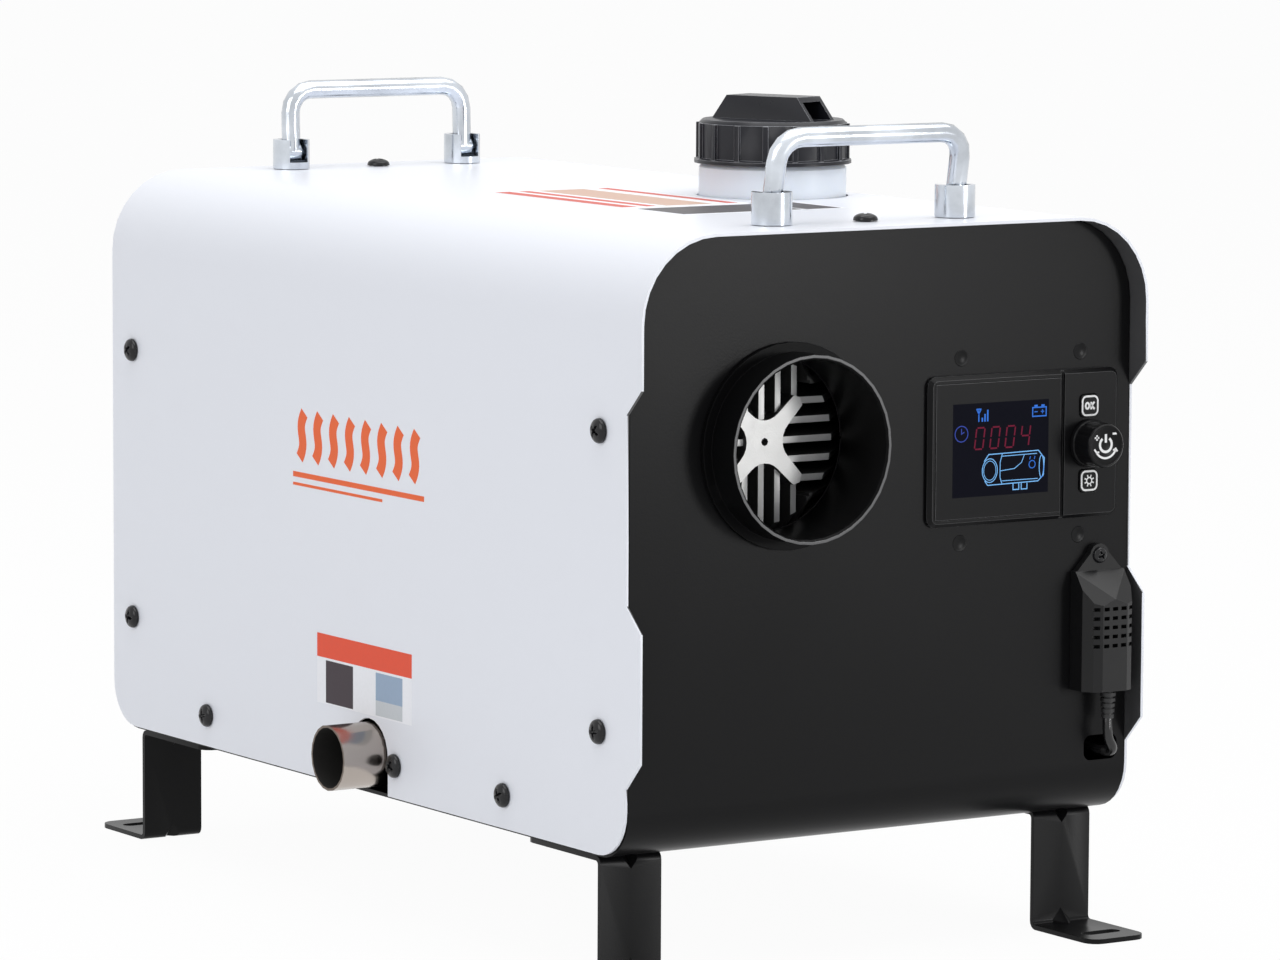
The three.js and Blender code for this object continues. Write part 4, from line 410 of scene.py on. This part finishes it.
# ---------------------------------------------------------------------------------------------
# Legs. Four Z-shaped brackets of 2 mm steel under the corners, with pressed dents across the bends
# and a slot in each foot, in the same black coat as the chassis.
# ---------------------------------------------------------------------------------------------
for end in ("front", "rear"):
    for side in ("left", "right"):
        dressed(f"leg_{end}_{side}", f"bracket_leg_{end}_{side}", "case", "black_paint", black_paint)

# ---------------------------------------------------------------------------------------------
# Carry handles. Bent 8 mm steel rods, zinc-plated, each held between two slotted turned posts by
# cross pins, so that they fold down towards the middle of the case or stand up.
# ---------------------------------------------------------------------------------------------
zinc = surface(
    "bright_zinc", (0.63, 0.67, 0.725), 0.2, metallic=1.0, cloud_size=45, colour_spread=1.1,
    gloss_spread=0.3, grain_size=1800, relief=0.000012)
for end in ("front", "rear"):
    for side in ("left", "right"):
        dressed(f"handle_post_{end}_{side}", f"bail_post_{end}_{side}", "case", "zinc", zinc, edge=0.45)
    dressed(f"handle_bail_{end}", f"carry_handle_{end}", f"{end}_handle", "zinc", zinc, edge=0.2, crease=50)

# ---------------------------------------------------------------------------------------------
# Hot-air outlet and heater unit. A black moulded duct collar clamped on the front panel, with the
# ribbed aluminium exchanger behind it inside a two-part plastic jacket.
# ---------------------------------------------------------------------------------------------
black_plastic = surface(
    "black_moulding", (0.005, 0.005, 0.0055), 0.3, cloud_size=25, colour_spread=0.1,
    gloss_spread=0.1, grain_size=2200, relief=0.00001, Specular_IOR_Level=0.16)
# A darker, less glossy copy of the black moulding for the collar: painted shade, so that the inside of the
# duct reads black.
duct_plastic_painted_shade = surface(
    "duct_moulding_painted_shade", (0.004, 0.004, 0.0043), 0.32, cloud_size=25, colour_spread=0.1,
    gloss_spread=0.1, grain_size=2200, relief=0.00001, Specular_IOR_Level=0.06)
# A lighter black for eased edges and the collar's rim: a painted highlight where edges catch the light.
moulding_edge_glint = surface(
    "black_moulding_edge_glint", (0.075, 0.075, 0.078), 0.3, cloud_size=60, colour_spread=0.6,
    gloss_spread=0.2, grain_size=2200, relief=0.00001)
collar = dressed("outlet_duct", "outlet_collar", "case", "black_plastic", duct_plastic_painted_shade, edge=0.2)
collar.data.materials.append(moulding_edge_glint)
# The collar's flat front rim takes the lighter black: a painted highlight round the mouth.
rim_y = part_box("outlet_duct")[0].y
RIM_DEPTH = 0.5
for face in collar.data.polygons:
    if face.normal.y < -0.9 and face.center.y < rim_y + RIM_DEPTH * MM:
        face.material_index = 1
for half in ("upper", "lower"):
    dressed(f"heater_case_{half}", f"jacket_{half}", "case", "black_plastic", black_plastic, edge=0.4)
cast_aluminium = surface(
    "cast_aluminium", (0.80, 0.80, 0.79), 0.42, metallic=0.35, cloud_size=220, colour_spread=0.12,
    gloss_spread=0.2, grain_size=1500, relief=0.00006)
# A dark grey aluminium for the exchanger's faces that turn away from the outlet: painted shade.
aluminium_painted_shade = surface(
    "aluminium_painted_shade", (0.10, 0.10, 0.10), 0.55, metallic=0.6, cloud_size=120, colour_spread=0.5,
    gloss_spread=0.2, grain_size=1500, relief=0.00006)
exchanger = dressed("heat_exchanger", "finned_exchanger", "case", "cast_aluminium", cast_aluminium)
exchanger.data.materials.append(aluminium_painted_shade)
# Only the nose and the long fins' front edges stay bright: the rest, and every small face, take a dark grey
# that paints the shade deep in the duct.
STUB_AREA = 30 * MM * MM
for face in exchanger.data.polygons:
    if face.normal.y > -0.7 or face.area < STUB_AREA:
        face.material_index = 1

# ---------------------------------------------------------------------------------------------
# Exhaust. A thin bent stainless tube from under the burner out of the left side, warm-toned and
# polished, sooted black inside.
# ---------------------------------------------------------------------------------------------
stainless = surface(
    "stainless_tube", (0.43, 0.385, 0.35), 0.2, metallic=1.0, cloud_size=60, colour_spread=0.15,
    gloss_spread=0.1, grain_size=1600, relief=0.000008)
soot = surface("soot", (0.012, 0.011, 0.010), 0.7, cloud_size=150, colour_spread=0.5, relief=0.00005)
pipe = dressed("exhaust_pipe", "exhaust_tube", "case", "stainless", stainless, edge=0.0, crease=40)
pipe.data.materials.append(soot)
pipe.data.materials.append(surface(
    "heat_tinted_steel", (0.16, 0.13, 0.11), 0.35, metallic=1.0, cloud_size=200, colour_spread=0.5))
pipe_low, pipe_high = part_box("exhaust_pipe")
PIPE_RADIUS = (pipe_high.y - pipe_low.y) / 2
PIPE_SKIN, SOOTED_DEPTH = 0.4, 20
pipe_y, pipe_z = (pipe_low.y + pipe_high.y) / 2, pipe_low.z + PIPE_RADIUS
for face in pipe.data.polygons:
    off_axis = Vector((face.center.y - pipe_y, face.center.z - pipe_z))
    in_the_mouth = face.center.x < cover_low.x + SOOTED_DEPTH * MM
    if in_the_mouth and off_axis.length < PIPE_RADIUS - PIPE_SKIN * MM:
        face.material_index = 2 if abs(face.normal.x) > 0.5 else 1

# ---------------------------------------------------------------------------------------------
# Inner pieces, seen only from below and through the openings. The air silencer and the fan are
# dressed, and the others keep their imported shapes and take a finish.
# ---------------------------------------------------------------------------------------------
plain_steel = surface(
    "sheet_steel", (0.46, 0.47, 0.48), 0.36, metallic=1.0, cloud_size=80, colour_spread=0.15,
    grain_size=1400)
board_green = surface("board", (0.02, 0.11, 0.04), 0.45, cloud_size=400, colour_spread=0.5, relief=0.00004)
dressed("intake_silencer", "air_silencer", "case", "black_plastic", black_plastic, edge=0.3)
for node, material in {
    "heater_bracket": plain_steel, "tank_shelf": plain_steel, "burner_tube": plain_steel,
    "fan_motor": plain_steel, "motor_shaft": plain_steel, "fuel_pump": plain_steel,
    "encoder_wheel": plain_steel, "blower_housing": cast_aluminium,
    "combustion_impeller": cast_aluminium, "control_board": board_green,
}.items():
    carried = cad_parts[node].data
    carried.materials.clear()
    carried.materials.append(material)
dressed("hot_air_fan", "axial_fan", "rotor", "black_plastic", black_plastic, edge=0.3)

# ---------------------------------------------------------------------------------------------
# Fuel tank, seal and lines. A translucent blow-moulded tank whose neck stands out of the cover,
# with a rubber seal under the cap, and rubber hoses to the pump, filter and burner.
# ---------------------------------------------------------------------------------------------
tank_plastic = surface(
    "natural_polyethylene", (0.80, 0.85, 0.93), 0.38, cloud_size=18, colour_spread=0.06,
    gloss_spread=0.1, grain_size=900, relief=0.00003, Subsurface_Weight=0.35, Subsurface_Scale=0.004)
tank_plastic.node_tree.nodes["Principled BSDF"].inputs["Subsurface Radius"].default_value = (0.9, 1.0, 1.2)
rubber = surface("black_rubber", (0.014, 0.014, 0.015), 0.5, cloud_size=150, colour_spread=0.3,
                 grain_size=1500, relief=0.00003)
dressed("fuel_tank", "tank", "case", "tank_plastic", tank_plastic, edge=0.6)
dressed("fuel_filter", "filter_bowl", "case", "tank_plastic", tank_plastic, edge=0.4)
dressed("cap_seal", "neck_seal", "seal", "rubber", rubber, edge=0.3)
for node, name in (("fuel_line_tank", "hose_to_pump"), ("fuel_line_burner", "hose_to_burner")):
    dressed(node, name, "case", "rubber", rubber, edge=0.3, crease=50)

# ---------------------------------------------------------------------------------------------
# Filler cap. A charcoal screw cap with raised ribs round its skirt, a lip at the bottom and a
# hollow trapezoid grip across the top.
# ---------------------------------------------------------------------------------------------
cap_plastic = surface(
    "charcoal_moulding", (0.014, 0.0145, 0.019), 0.32, cloud_size=90, colour_spread=0.35,
    gloss_spread=0.25, grain_size=1200, relief=0.00003, Specular_IOR_Level=0.25)
# A light grey for the cap's eased edges on ribs and grip: painted highlights.
cap_edge_glint = surface(
    "charcoal_moulding_edge_glint", (0.40, 0.41, 0.44), 0.34, cloud_size=120, colour_spread=0.9,
    gloss_spread=0.2, grain_size=1200, relief=0.00002)
dressed("fuel_cap", "filler_cap", "cap", "cap_plastic", cap_plastic, edge=0.3, edge_glint=cap_edge_glint, flat=0.02)

# ---------------------------------------------------------------------------------------------
# Controller. A black bezel pushed into the front panel: a smoked window over a colour display on
# the left, and two keys with a push-and-turn knob between them on the right. Symbols are printed.
# ---------------------------------------------------------------------------------------------
bezel_plastic = surface(
    "bezel_moulding", (0.006, 0.006, 0.0065), 0.28, cloud_size=30, colour_spread=0.08,
    gloss_spread=0.06, grain_size=3000, relief=0.000006, Specular_IOR_Level=0.12)
window = surface("smoked_window", (0.008, 0.008, 0.0085), 0.25, cloud_size=10, colour_spread=0.05,
                 gloss_spread=0.04, relief=0.0, Specular_IOR_Level=0.11)
# The bezel's and the window's eased edges take the lighter black: painted highlights.
dressed("controller_housing", "controller_bezel", "case", "black_plastic", bezel_plastic, edge=0.35,
        crease=16, edge_glint=moulding_edge_glint)
dressed("display_lens", "display_window", "case", "smoked_lens", window, edge=0.15, edge_glint=moulding_edge_glint)
for key in ("ok", "settings"):
    dressed(f"{key}_button", f"{key}_key_cap", f"{key}_key", "black_plastic", bezel_plastic, edge=0.25)


def ink(name, colour, glow=0.0):
    """A flat printed or lit colour. A lit one lies under the window and has no gloss of its own."""
    material = surface(name, colour, 0.45, cloud_size=500, colour_spread=0.08, relief=0.0,
                       Specular_IOR_Level=0.04 if glow else 0.2)
    if glow:
        shader = material.node_tree.nodes["Principled BSDF"]
        material.node_tree.links.new(
            material.node_tree.nodes["finish"].outputs["Color"], shader.inputs["Emission Color"])
        shader.inputs["Emission Strength"].default_value = glow
    return material


def printed(name, body, slot, material, lines, origin, across, up, lift=0.0, depth=0.05):
    """Ribbons of ink. Each line is (width, points, closed), in millimetres from the origin."""
    across, up = Vector(across), Vector(up)
    out = across.cross(up)
    shape = bmesh.new()
    for width, points, closed in lines:
        flat = [Vector(p) for p in points]
        corners = []
        for i, p in enumerate(flat):
            before = flat[i - 1] if i or closed else None
            after = flat[(i + 1) % len(flat)] if i < len(flat) - 1 or closed else None
            ways = [w.normalized() for w in (before and p - before, after and after - p) if w]
            normal = sum((Vector((-w.y, w.x)) for w in ways), Vector((0, 0))).normalized()
            reach = width / 2 / max(0.5, normal.dot(Vector((-ways[0].y, ways[0].x))))
            ring = []
            for side, height in ((1, lift), (-1, lift), (-1, lift + depth), (1, lift + depth)):
                q = p + normal * reach * side
                ring.append(shape.verts.new(Vector(origin) + (across * q.x + up * q.y + out * height) * MM))
            corners.append(ring)
        pairs = list(zip(corners, corners[1:]))
        if closed:
            pairs.append((corners[-1], corners[0]))
        else:
            shape.faces.new(corners[0])
            shape.faces.new(corners[-1][::-1])
        for a, b in pairs:
            for k in range(4):
                shape.faces.new([a[k], a[(k + 1) % 4], b[(k + 1) % 4], b[k]])
    bmesh.ops.recalc_face_normals(shape, faces=shape.faces)
    mesh = bpy.data.meshes.new(name)
    shape.to_mesh(mesh)
    shape.free()
    return placed(mesh, name, body, slot, material)


def arc(radius, start, end, at=(0, 0), steps=20, squash=1.0):
    """Points of an arc in degrees, from start to end."""
    turns = [math.radians(start + (end - start) * i / steps) for i in range(steps + 1)]
    return [(at[0] + squash * radius * math.cos(t), at[1] + radius * math.sin(t)) for t in turns]


def circle(radius, at=(0, 0), steps=28, squash=1.0):
    return arc(radius, 0, 360 * (steps - 1) / steps, at, steps - 1, squash)


def rounded_square(half, corner):
    inside = half - corner
    points = []
    for turn, (x, y) in enumerate(((1, 1), (-1, 1), (-1, -1), (1, -1))):
        points += arc(corner, 90 * turn, 90 * turn + 90, (x * inside, y * inside), 5)
    return points


ACROSS, UP = (1, 0, 0), (0, 0, 1)
window_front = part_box("display_lens")[0].y
SCREEN_LEFT, SCREEN_LOW, SCREEN_W, SCREEN_H = 30.0, 131.5, 46.5, 37.0
screen_corner = Vector((MIDDLE_X + SCREEN_LEFT * MM, window_front, SILL_Z + SCREEN_LOW * MM))
dark_screen = ink("dark_screen", (0.0012, 0.0014, 0.005), glow=0.25)
screen_field = [(SCREEN_H, [(0, SCREEN_H / 2), (SCREEN_W, SCREEN_H / 2)], False)]
printed("screen", "case", "smoked_lens", dark_screen, screen_field, screen_corner, ACROSS, UP, depth=0.04)

deep_blue = ink("display_blue", (0.03, 0.13, 0.50), glow=0.5)
icons = [
    # Signal mast with three bars.
    (0.5, [(11.2, 34.6), (13.6, 34.6)], False), (0.5, [(12.4, 34.6), (12.4, 29.6)], False),
    (0.4, [(11.4, 34.4), (12.4, 32.6), (13.4, 34.4)], False), (0.7, [(14.1, 29.6), (14.1, 31.2)], False),
    (0.7, [(15.4, 29.6), (15.4, 32.6)], False), (0.7, [(16.7, 29.6), (16.7, 34.2)], False),
    # Battery with its two terminals.
    (0.5, [(38.6, 30.4), (45.2, 30.4), (45.2, 33.9), (38.6, 33.9)], True),
    (0.9, [(39.4, 34.5), (41, 34.5)], False), (0.9, [(42.8, 34.5), (44.4, 34.5)], False),
    (0.4, [(39.5, 32.2), (41, 32.2)], False), (0.4, [(42.6, 32.2), (44.2, 32.2)], False),
    (0.4, [(43.4, 31.4), (43.4, 33)], False),
]
printed("display_status", "case", "smoked_lens", deep_blue, icons, screen_corner, ACROSS, UP, lift=0.04)
faint_blue = ink("display_faint_blue", (0.03, 0.05, 0.26), glow=0.5)
clock = [(0.4, circle(3.1, (4.1, 25.2)), True), (0.4, [(4.1, 27.3), (4.1, 25.2), (5.5, 25.9)], False)]
printed("display_clock", "case", "smoked_lens", faint_blue, clock, screen_corner, ACROSS, UP, lift=0.04)

DIGITS_LEFT, DIGITS_LOW, DIGIT_W, DIGIT_H, DIGIT_PITCH, SLANT = 10.4, 18.8, 4.0, 8.4, 7.4, 0.13
SEGMENTS = {
    "a": ((0, 1), (1, 1)), "b": ((1, 1), (1, 0.5)), "c": ((1, 0.5), (1, 0)), "d": ((0, 0), (1, 0)),
    "e": ((0, 0), (0, 0.5)), "f": ((0, 0.5), (0, 1)), "g": ((0, 0.5), (1, 0.5)),
}
digits = []
for place, lit in enumerate(("abcdef", "abcdef", "abcdef", "bcfg")):
    for segment in lit:
        ends = [Vector((u * DIGIT_W, v * DIGIT_H)) for u, v in SEGMENTS[segment]]
        gap = (ends[1] - ends[0]).normalized() * 0.35
        line = [(DIGITS_LEFT + place * DIGIT_PITCH + p.x + SLANT * p.y, DIGITS_LOW + p.y)
                for p in (ends[0] + gap, ends[1] - gap)]
        digits.append((0.62, line, False))
dim_red = ink("display_red", (0.12, 0.009, 0.026), glow=0.42)
printed("display_digits", "case", "smoked_lens", dim_red, digits, screen_corner, ACROSS, UP, lift=0.04)

pale_blue = ink("display_pale_blue", (0.15, 0.37, 0.68), glow=0.5)
heater_sign = [
    # Body with its fan, its panel lines and the flow between them.
    (0.38, [(15.6, 6), (17, 4.2), (41.5, 4.6), (44.2, 6.8), (44.6, 13.6), (41.6, 16.8), (17.4, 16.4),
            (15.2, 13.8)], False),
    (0.34, circle(4.7, (18, 10), squash=0.78), True), (0.26, circle(3.8, (18, 10), squash=0.78), True),
    (0.34, [(24, 16.4), (23, 13), (23, 7), (24, 4.4)], False), (0.3, [(24, 15.4), (41, 15.6)], False),
    (0.3, [(24, 5.6), (41.4, 5.6)], False),
    (0.3, [(23, 9.6), (30, 10.2), (33.4, 12.4), (34.8, 15.4)], False),
    # Outlet and the two ports underneath.
    (0.35, circle(4.4, (43.2, 10.4), squash=0.25), True),
    (0.4, [(29.4, 4.2), (29.4, 1.8), (32.2, 1.8), (32.2, 4.2)], False),
    (0.4, [(33.4, 4.2), (33.4, 1.8), (36.2, 1.8), (36.2, 4.2)], False),
]
printed("display_heater_sign", "case", "smoked_lens", pale_blue, heater_sign, screen_corner, ACROSS, UP,
        lift=0.04)
flame = [(0.35, circle(1.5, (38.6, 11.4)), True), (0.35, [(37.4, 13.4), (37.8, 14.6)], False),
         (0.35, [(39.6, 13.4), (40, 14.6)], False)]
printed("display_flame_sign", "case", "smoked_lens", deep_blue, flame, screen_corner, ACROSS, UP, lift=0.04)

white_ink = ink("white_ink", (0.86, 0.86, 0.86))


def key_middle(node):
    low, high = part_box(node)
    return Vector(((low.x + high.x) / 2, low.y, (low.z + high.z) / 2))


frame_line = (0.75, rounded_square(3.75, 1.9), True)
ok_lines = [
    frame_line, (0.85, circle(1.15, (-1.35, 0), squash=0.75), True),
    (0.9, [(0.55, -1.5), (0.55, 1.5)], False), (0.85, [(2.1, 1.45), (0.75, 0), (2.2, -1.45)], False),
]
printed("ok_print", "ok_key", "black_plastic", white_ink, ok_lines, key_middle("ok_button"), ACROSS, UP)
gear_lines = [frame_line, (0.5, circle(1.25), True)]
for tooth in range(8):
    turn = math.radians(45 * tooth + 22.5)
    gear_lines.append((0.55, [(r * math.cos(turn), r * math.sin(turn)) for r in (1.5, 2.45)], False))
printed("settings_print", "settings_key", "black_plastic", white_ink, gear_lines,
        key_middle("settings_button"), ACROSS, UP)

# The knob is a turned cap with twelve shallow grip flutes and a dished face.
knob_low, knob_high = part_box("control_knob")
KNOB_RADIUS = (knob_high.x - knob_low.x) / 2 / MM
knob_middle = Vector(((knob_low.x + knob_high.x) / 2, knob_low.y, (knob_low.z + knob_high.z) / 2))
KNOB_LENGTH, KNOB_DISH, STEM_RADIUS, STEM_LENGTH = 11.0, 0.45, 3.0, 29.0
knob = turned("knob", [
    (0, -KNOB_DISH), (KNOB_RADIUS - 2.6, -KNOB_DISH), (KNOB_RADIUS - 2.1, -0.12), (KNOB_RADIUS - 1.7, 0),
    (KNOB_RADIUS - 1.3, -0.05), (KNOB_RADIUS - 0.9, -0.45), (KNOB_RADIUS - 0.75, -1.1),
    (KNOB_RADIUS - 0.6, -5), (KNOB_RADIUS - 0.5, -9), (KNOB_RADIUS - 0.1, -9.4),
    (KNOB_RADIUS, -9.8), (KNOB_RADIUS, -KNOB_LENGTH),
    (STEM_RADIUS, -KNOB_LENGTH), (STEM_RADIUS, -STEM_LENGTH), (0, -STEM_LENGTH),
], sides=96, at=knob_middle)
FLUTES, FLUTE_DEPTH, FLUTE_START, FLUTE_END = 12, 0.32, 1.0, 9.2
for vertex in knob.vertices:
    from_axis = Vector((vertex.co.x - knob_middle.x, vertex.co.z - knob_middle.z))
    depth = (vertex.co.y - knob_middle.y) / MM
    if FLUTE_START < depth < FLUTE_END and from_axis.length > 7 * MM:
        turn = math.atan2(from_axis.y, from_axis.x)
        sink = FLUTE_DEPTH * max(0.0, math.cos(FLUTES * turn)) ** 8
        vertex.co.x -= from_axis.normalized().x * sink * MM
        vertex.co.z -= from_axis.normalized().y * sink * MM
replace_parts(placed(knob, "knob_cap", "knob", "black_plastic", bezel_plastic), "control_knob")
knob_lines = [
    # Power sign, plus and minus.
    (1.05, arc(2.9, 125, 415, (0, 0.4)), False), (1.1, [(0, 1.2), (0, 4.6)], False),
    (0.75, [(-5.5, 3.3), (-3.3, 3.3)], False), (0.75, [(-4.4, 2.2), (-4.4, 4.4)], False),
    (0.8, [(3.3, 4.6), (5.3, 4.6)], False),
    # An arc below them with an arrow head at each end.
    (0.85, arc(5.4, 215, 335, (0, 0.4)), False), (0.75, [(-5.6, -1.2), (-4.6, -2.5), (-3.2, -2.5)], False),
    (0.75, [(3.7, -2.1), (4.9, -1.4), (5.8, -2.6)], False),
]
printed("knob_print", "knob", "black_plastic", white_ink, knob_lines,
        knob_middle + Vector((0, KNOB_DISH * MM, 0)), ACROSS, UP)

# ---------------------------------------------------------------------------------------------
# Sensor. A black moulded box with slots, hung on the front panel by one screw through its ear.
# Its lead leaves the bottom through a ribbed relief and goes into the panel.
# ---------------------------------------------------------------------------------------------
sensor_plastic = surface(
    "sensor_moulding", (0.008, 0.008, 0.0085), 0.32, cloud_size=60, colour_spread=0.15,
    gloss_spread=0.12, grain_size=1700, relief=0.000015, Specular_IOR_Level=0.26)
# A slightly lighter black for the box's eased edges: painted highlights.
sensor_edge_glint = surface(
    "sensor_moulding_edge_glint", (0.035, 0.035, 0.036), 0.28, cloud_size=60, colour_spread=0.5,
    gloss_spread=0.12, grain_size=1700, relief=0.000015)
SENSOR_CREASE = 14
sensor = dressed("sensor_housing", "sensor_box", "case", "black_plastic", sensor_plastic, edge=0.3,
                 crease=SENSOR_CREASE, edge_glint=sensor_edge_glint)
sensor_low, sensor_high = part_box("sensor_housing")
SENSOR_X = (sensor_low.x + sensor_high.x) / 2
SENSOR_DEPTH, EAR_THICKNESS = 14.0, 3.0


def sensor_point(x, out, z):
    """A point by millimetres from the sensor's middle, out from the panel and up from the sill."""
    return Vector((SENSOR_X + x * MM, sensor_low.y + (SENSOR_DEPTH - out) * MM, SILL_Z + z * MM))


# Both upper corners are cut back, which leaves a V-shaped slope above the slots. The ear behind them
# stays whole.
SLOPE_TIP_Z, SHOULDER, TEMPLE = 88, (12, 3.15, 98.5), (6, SENSOR_DEPTH, 85.6)
trimmed = bmesh.new()
trimmed.from_mesh(sensor.data)
ear_front = sensor_point(0, EAR_THICKNESS, 0)
bmesh.ops.bisect_plane(
    trimmed, geom=trimmed.verts[:] + trimmed.edges[:] + trimmed.faces[:], plane_co=ear_front,
    plane_no=(0, -1, 0))
tip = sensor_point(0, SENSOR_DEPTH, SLOPE_TIP_Z)
for side in (-1, 1):
    shoulder, temple = (sensor_point(side * x, out, z) for x, out, z in (SHOULDER, TEMPLE))
    outward = (shoulder - tip).cross(temple - tip).normalized()
    if outward.z < 0:
        outward.negate()
    box_faces = [f for f in trimmed.faces if f.calc_center_median().y < ear_front.y - 0.02 * MM]
    box_edges = list({e for f in box_faces for e in f.edges})
    box_corners = list({v for f in box_faces for v in f.verts})
    cut = bmesh.ops.bisect_plane(
        trimmed, geom=box_corners + box_edges + box_faces, plane_co=tip, plane_no=outward,
        clear_outer=True)
    rim = [e for e in cut["geom_cut"] if isinstance(e, bmesh.types.BMEdge) and e.is_boundary]
    bmesh.ops.holes_fill(trimmed, edges=rim, sides=0)
bmesh.ops.recalc_face_normals(trimmed, faces=trimmed.faces)
trimmed.to_mesh(sensor.data)
trimmed.free()
rounded_shading(sensor.data, SENSOR_CREASE)

EAR_HOLE_DROP, EAR_SCREW_TURN = 4.6, 25
ear_hole = Vector((SENSOR_X, sensor_high.y - EAR_THICKNESS * MM, sensor_high.z - EAR_HOLE_DROP * MM))
ear_screw = screw_mesh(
    "ear_screw", radius=3.3, rise=1.9, shank_radius=1.6, shank=3.2, sides=40, steps=12)
ear_screw.transform(
    Matrix.Translation(ear_hole) @ Matrix.Rotation(math.pi / 2, 4, "X")
    @ Matrix.Rotation(math.radians(EAR_SCREW_TURN), 4, "Z"))
placed(ear_screw, "ear_screw", "case", "screw_black", screw_black)

LEAD_DIAMETER, LEAD_LENGTH = 0.004, 0.042
LEAD_STOPS = [
    (2, -7.3, 50.5), (2, -7.3, 42.5), (1.5, -8.3, 32.2), (4.95, -6.3, 25.7), (3.95, -1, 25.2),
    (3.95, 9.2, 26.2),
]
lead_route = [
    Vector((SENSOR_X + x * MM, FRONT_Y + y * MM, SILL_Z + z * MM)) for x, y, z in LEAD_STOPS]
lead_curve = bpy.data.curves.new("sensor_cable", "CURVE")
lead_curve.dimensions = "3D"
lead_curve.bevel_depth = LEAD_DIAMETER / 2
lead_curve.bevel_resolution = 5
lead_curve.use_fill_caps = True
spline = lead_curve.splines.new("BEZIER")
spline.bezier_points.add(len(lead_route) - 1)
for point, place in zip(spline.bezier_points, lead_route):
    point.co = place
    point.handle_left_type = point.handle_right_type = "AUTO"
spline.resolution_u = 10
lead_curve.materials.append(surface(
    "cable_sheath", (0.008, 0.008, 0.0085), 0.2, cloud_size=150, colour_spread=0.2, gloss_spread=0.1,
    grain_size=1500, relief=0.00001))
lead = bpy.data.objects.new("sensor_cable", lead_curve)
bpy.context.scene.collection.objects.link(lead)
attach(lead, "case")
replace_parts(lead, "sensor_lead")

RELIEF_RIBS, RIB_PITCH = 5, 2.2
relief_profile = [(2.05, -11.6)]
for rib in range(RELIEF_RIBS):
    high, reach = -11.2 + RIB_PITCH * rib, 2.55 + 0.16 * rib
    relief_profile += [(reach, high), (reach, high + 1.4), (2.15, high + 1.45), (2.15, high + 2.15)]
relief_profile += [(3.3, -0.2), (2.05, -0.2)]
relief = turned("lead_relief", relief_profile, sides=28, axis="z", at=lead_route[0])
relief_piece = placed(relief, "lead_relief", "case", "rubber", rubber)

# ---------------------------------------------------------------------------------------------
# Rear panel fittings. A moulded grille over the cold-air inlet and a two-pin supply socket.
# ---------------------------------------------------------------------------------------------
dressed("inlet_grille", "air_grille", "case", "black_plastic", black_plastic, edge=0.3)
dressed("power_inlet", "supply_socket", "case", "black_plastic", black_plastic, edge=0.3)

# ---------------------------------------------------------------------------------------------
# Decorations. An orange row of heat waves on the long side, a plain coloured sticker over the
# exhaust and a plain banded one on the top, all thin printed film on the paint.
# ---------------------------------------------------------------------------------------------
orange = ink("orange_film", (0.87, 0.15, 0.045))
side_origin = Vector((cover_low.x, FRONT_Y + 0.203, SILL_Z + 0.141))
WAVES, WAVE_PITCH, WAVE_H, WAVE_W, WAVE_SWING = 8, 13, 19, 6.0, 1.5
waves = []
for mark in range(WAVES):
    middle = WAVE_PITCH * (mark - (WAVES - 1) / 2)
    wave = [(middle + WAVE_SWING * math.sin(math.pi * s / 8) + 0.25 * (s - 8), WAVE_H * (s / 16 - 0.5))
            for s in range(17)]
    waves.append((WAVE_W, wave, False))
waves += [(2.2, [(-53, -16.5), (53, -16.5)], False), (1.2, [(-53, -20.5), (20, -20.5)], False)]
printed("heat_wave_marks", "case", "white_paint", orange, waves, side_origin, (0, -1, 0), UP, depth=0.06)

film_white = ink("white_film", (0.91, 0.92, 0.96))
sticker_origin = Vector((cover_low.x, FRONT_Y + 0.236, SILL_Z + 0.031))
STICKER_W = 76.5
# Each film of the side sticker: name, ink, left edge, width, middle height, height and lift.
SIDE_FILMS = [
    ("side_sticker", film_white, 0, STICKER_W, 14.75, 28.5, 0.0),
    ("side_sticker_band", ink("red_film", (0.83, 0.095, 0.045)), 0, STICKER_W, 24.6, 9.8, 0.05),
    ("side_sticker_umber_film", ink("umber_film", (0.05, 0.036, 0.045)), 7.2, 22.2, 9.9, 17.6, 0.05),
    ("side_sticker_slate_film", ink("slate_film", (0.33, 0.43, 0.57)), 47.8, 21.3, 13.0, 11.4, 0.05),
    ("side_sticker_mist_film", ink("mist_film", (0.60, 0.63, 0.66)), 47.8, 21.3, 4.2, 6.2, 0.05),
]
for name, material, start, width, middle, height, lift in SIDE_FILMS:
    film = [(height, [(start, middle), (start + width, middle)], False)]
    printed(name, "case", "white_paint", material, film, sticker_origin, (0, -1, 0), UP, lift=lift,
            depth=0.04 if lift else 0.05)

top_origin = Vector((cover_low.x + 0.076, FRONT_Y + 0.078, cover_high.z))
# Each film of the top sticker: name, ink, its ribbons and lift.
TOP_FILMS = [
    ("top_sticker", film_white, [(60, [(30, 0), (30, 147)], False), (20, [(69, 0), (69, 42)], False)], 0.0),
    ("top_sticker_red", ink("brick_film", (0.62, 0.10, 0.07)),
     [(7, [(4.5, 46), (4.5, 144)], False), (5, [(15, 46), (15, 144)], False),
      (5, [(54, 46), (54, 144)], False)], 0.05),
    ("top_sticker_grey", ink("grey_film", (0.085, 0.08, 0.085)),
     [(34, [(2, 19.5), (58, 19.5)], False), (16, [(69, 2), (69, 38)], False)], 0.05),
    ("top_sticker_sand", ink("sand_film", (0.62, 0.42, 0.33)),
     [(22, [(33, 46), (33, 144)], False)], 0.05),
]
for name, material, lines, lift in TOP_FILMS:
    printed(name, "case", "white_paint", material, lines, top_origin, (1, 0, 0), (0, 1, 0), lift=lift,
            depth=0.05)
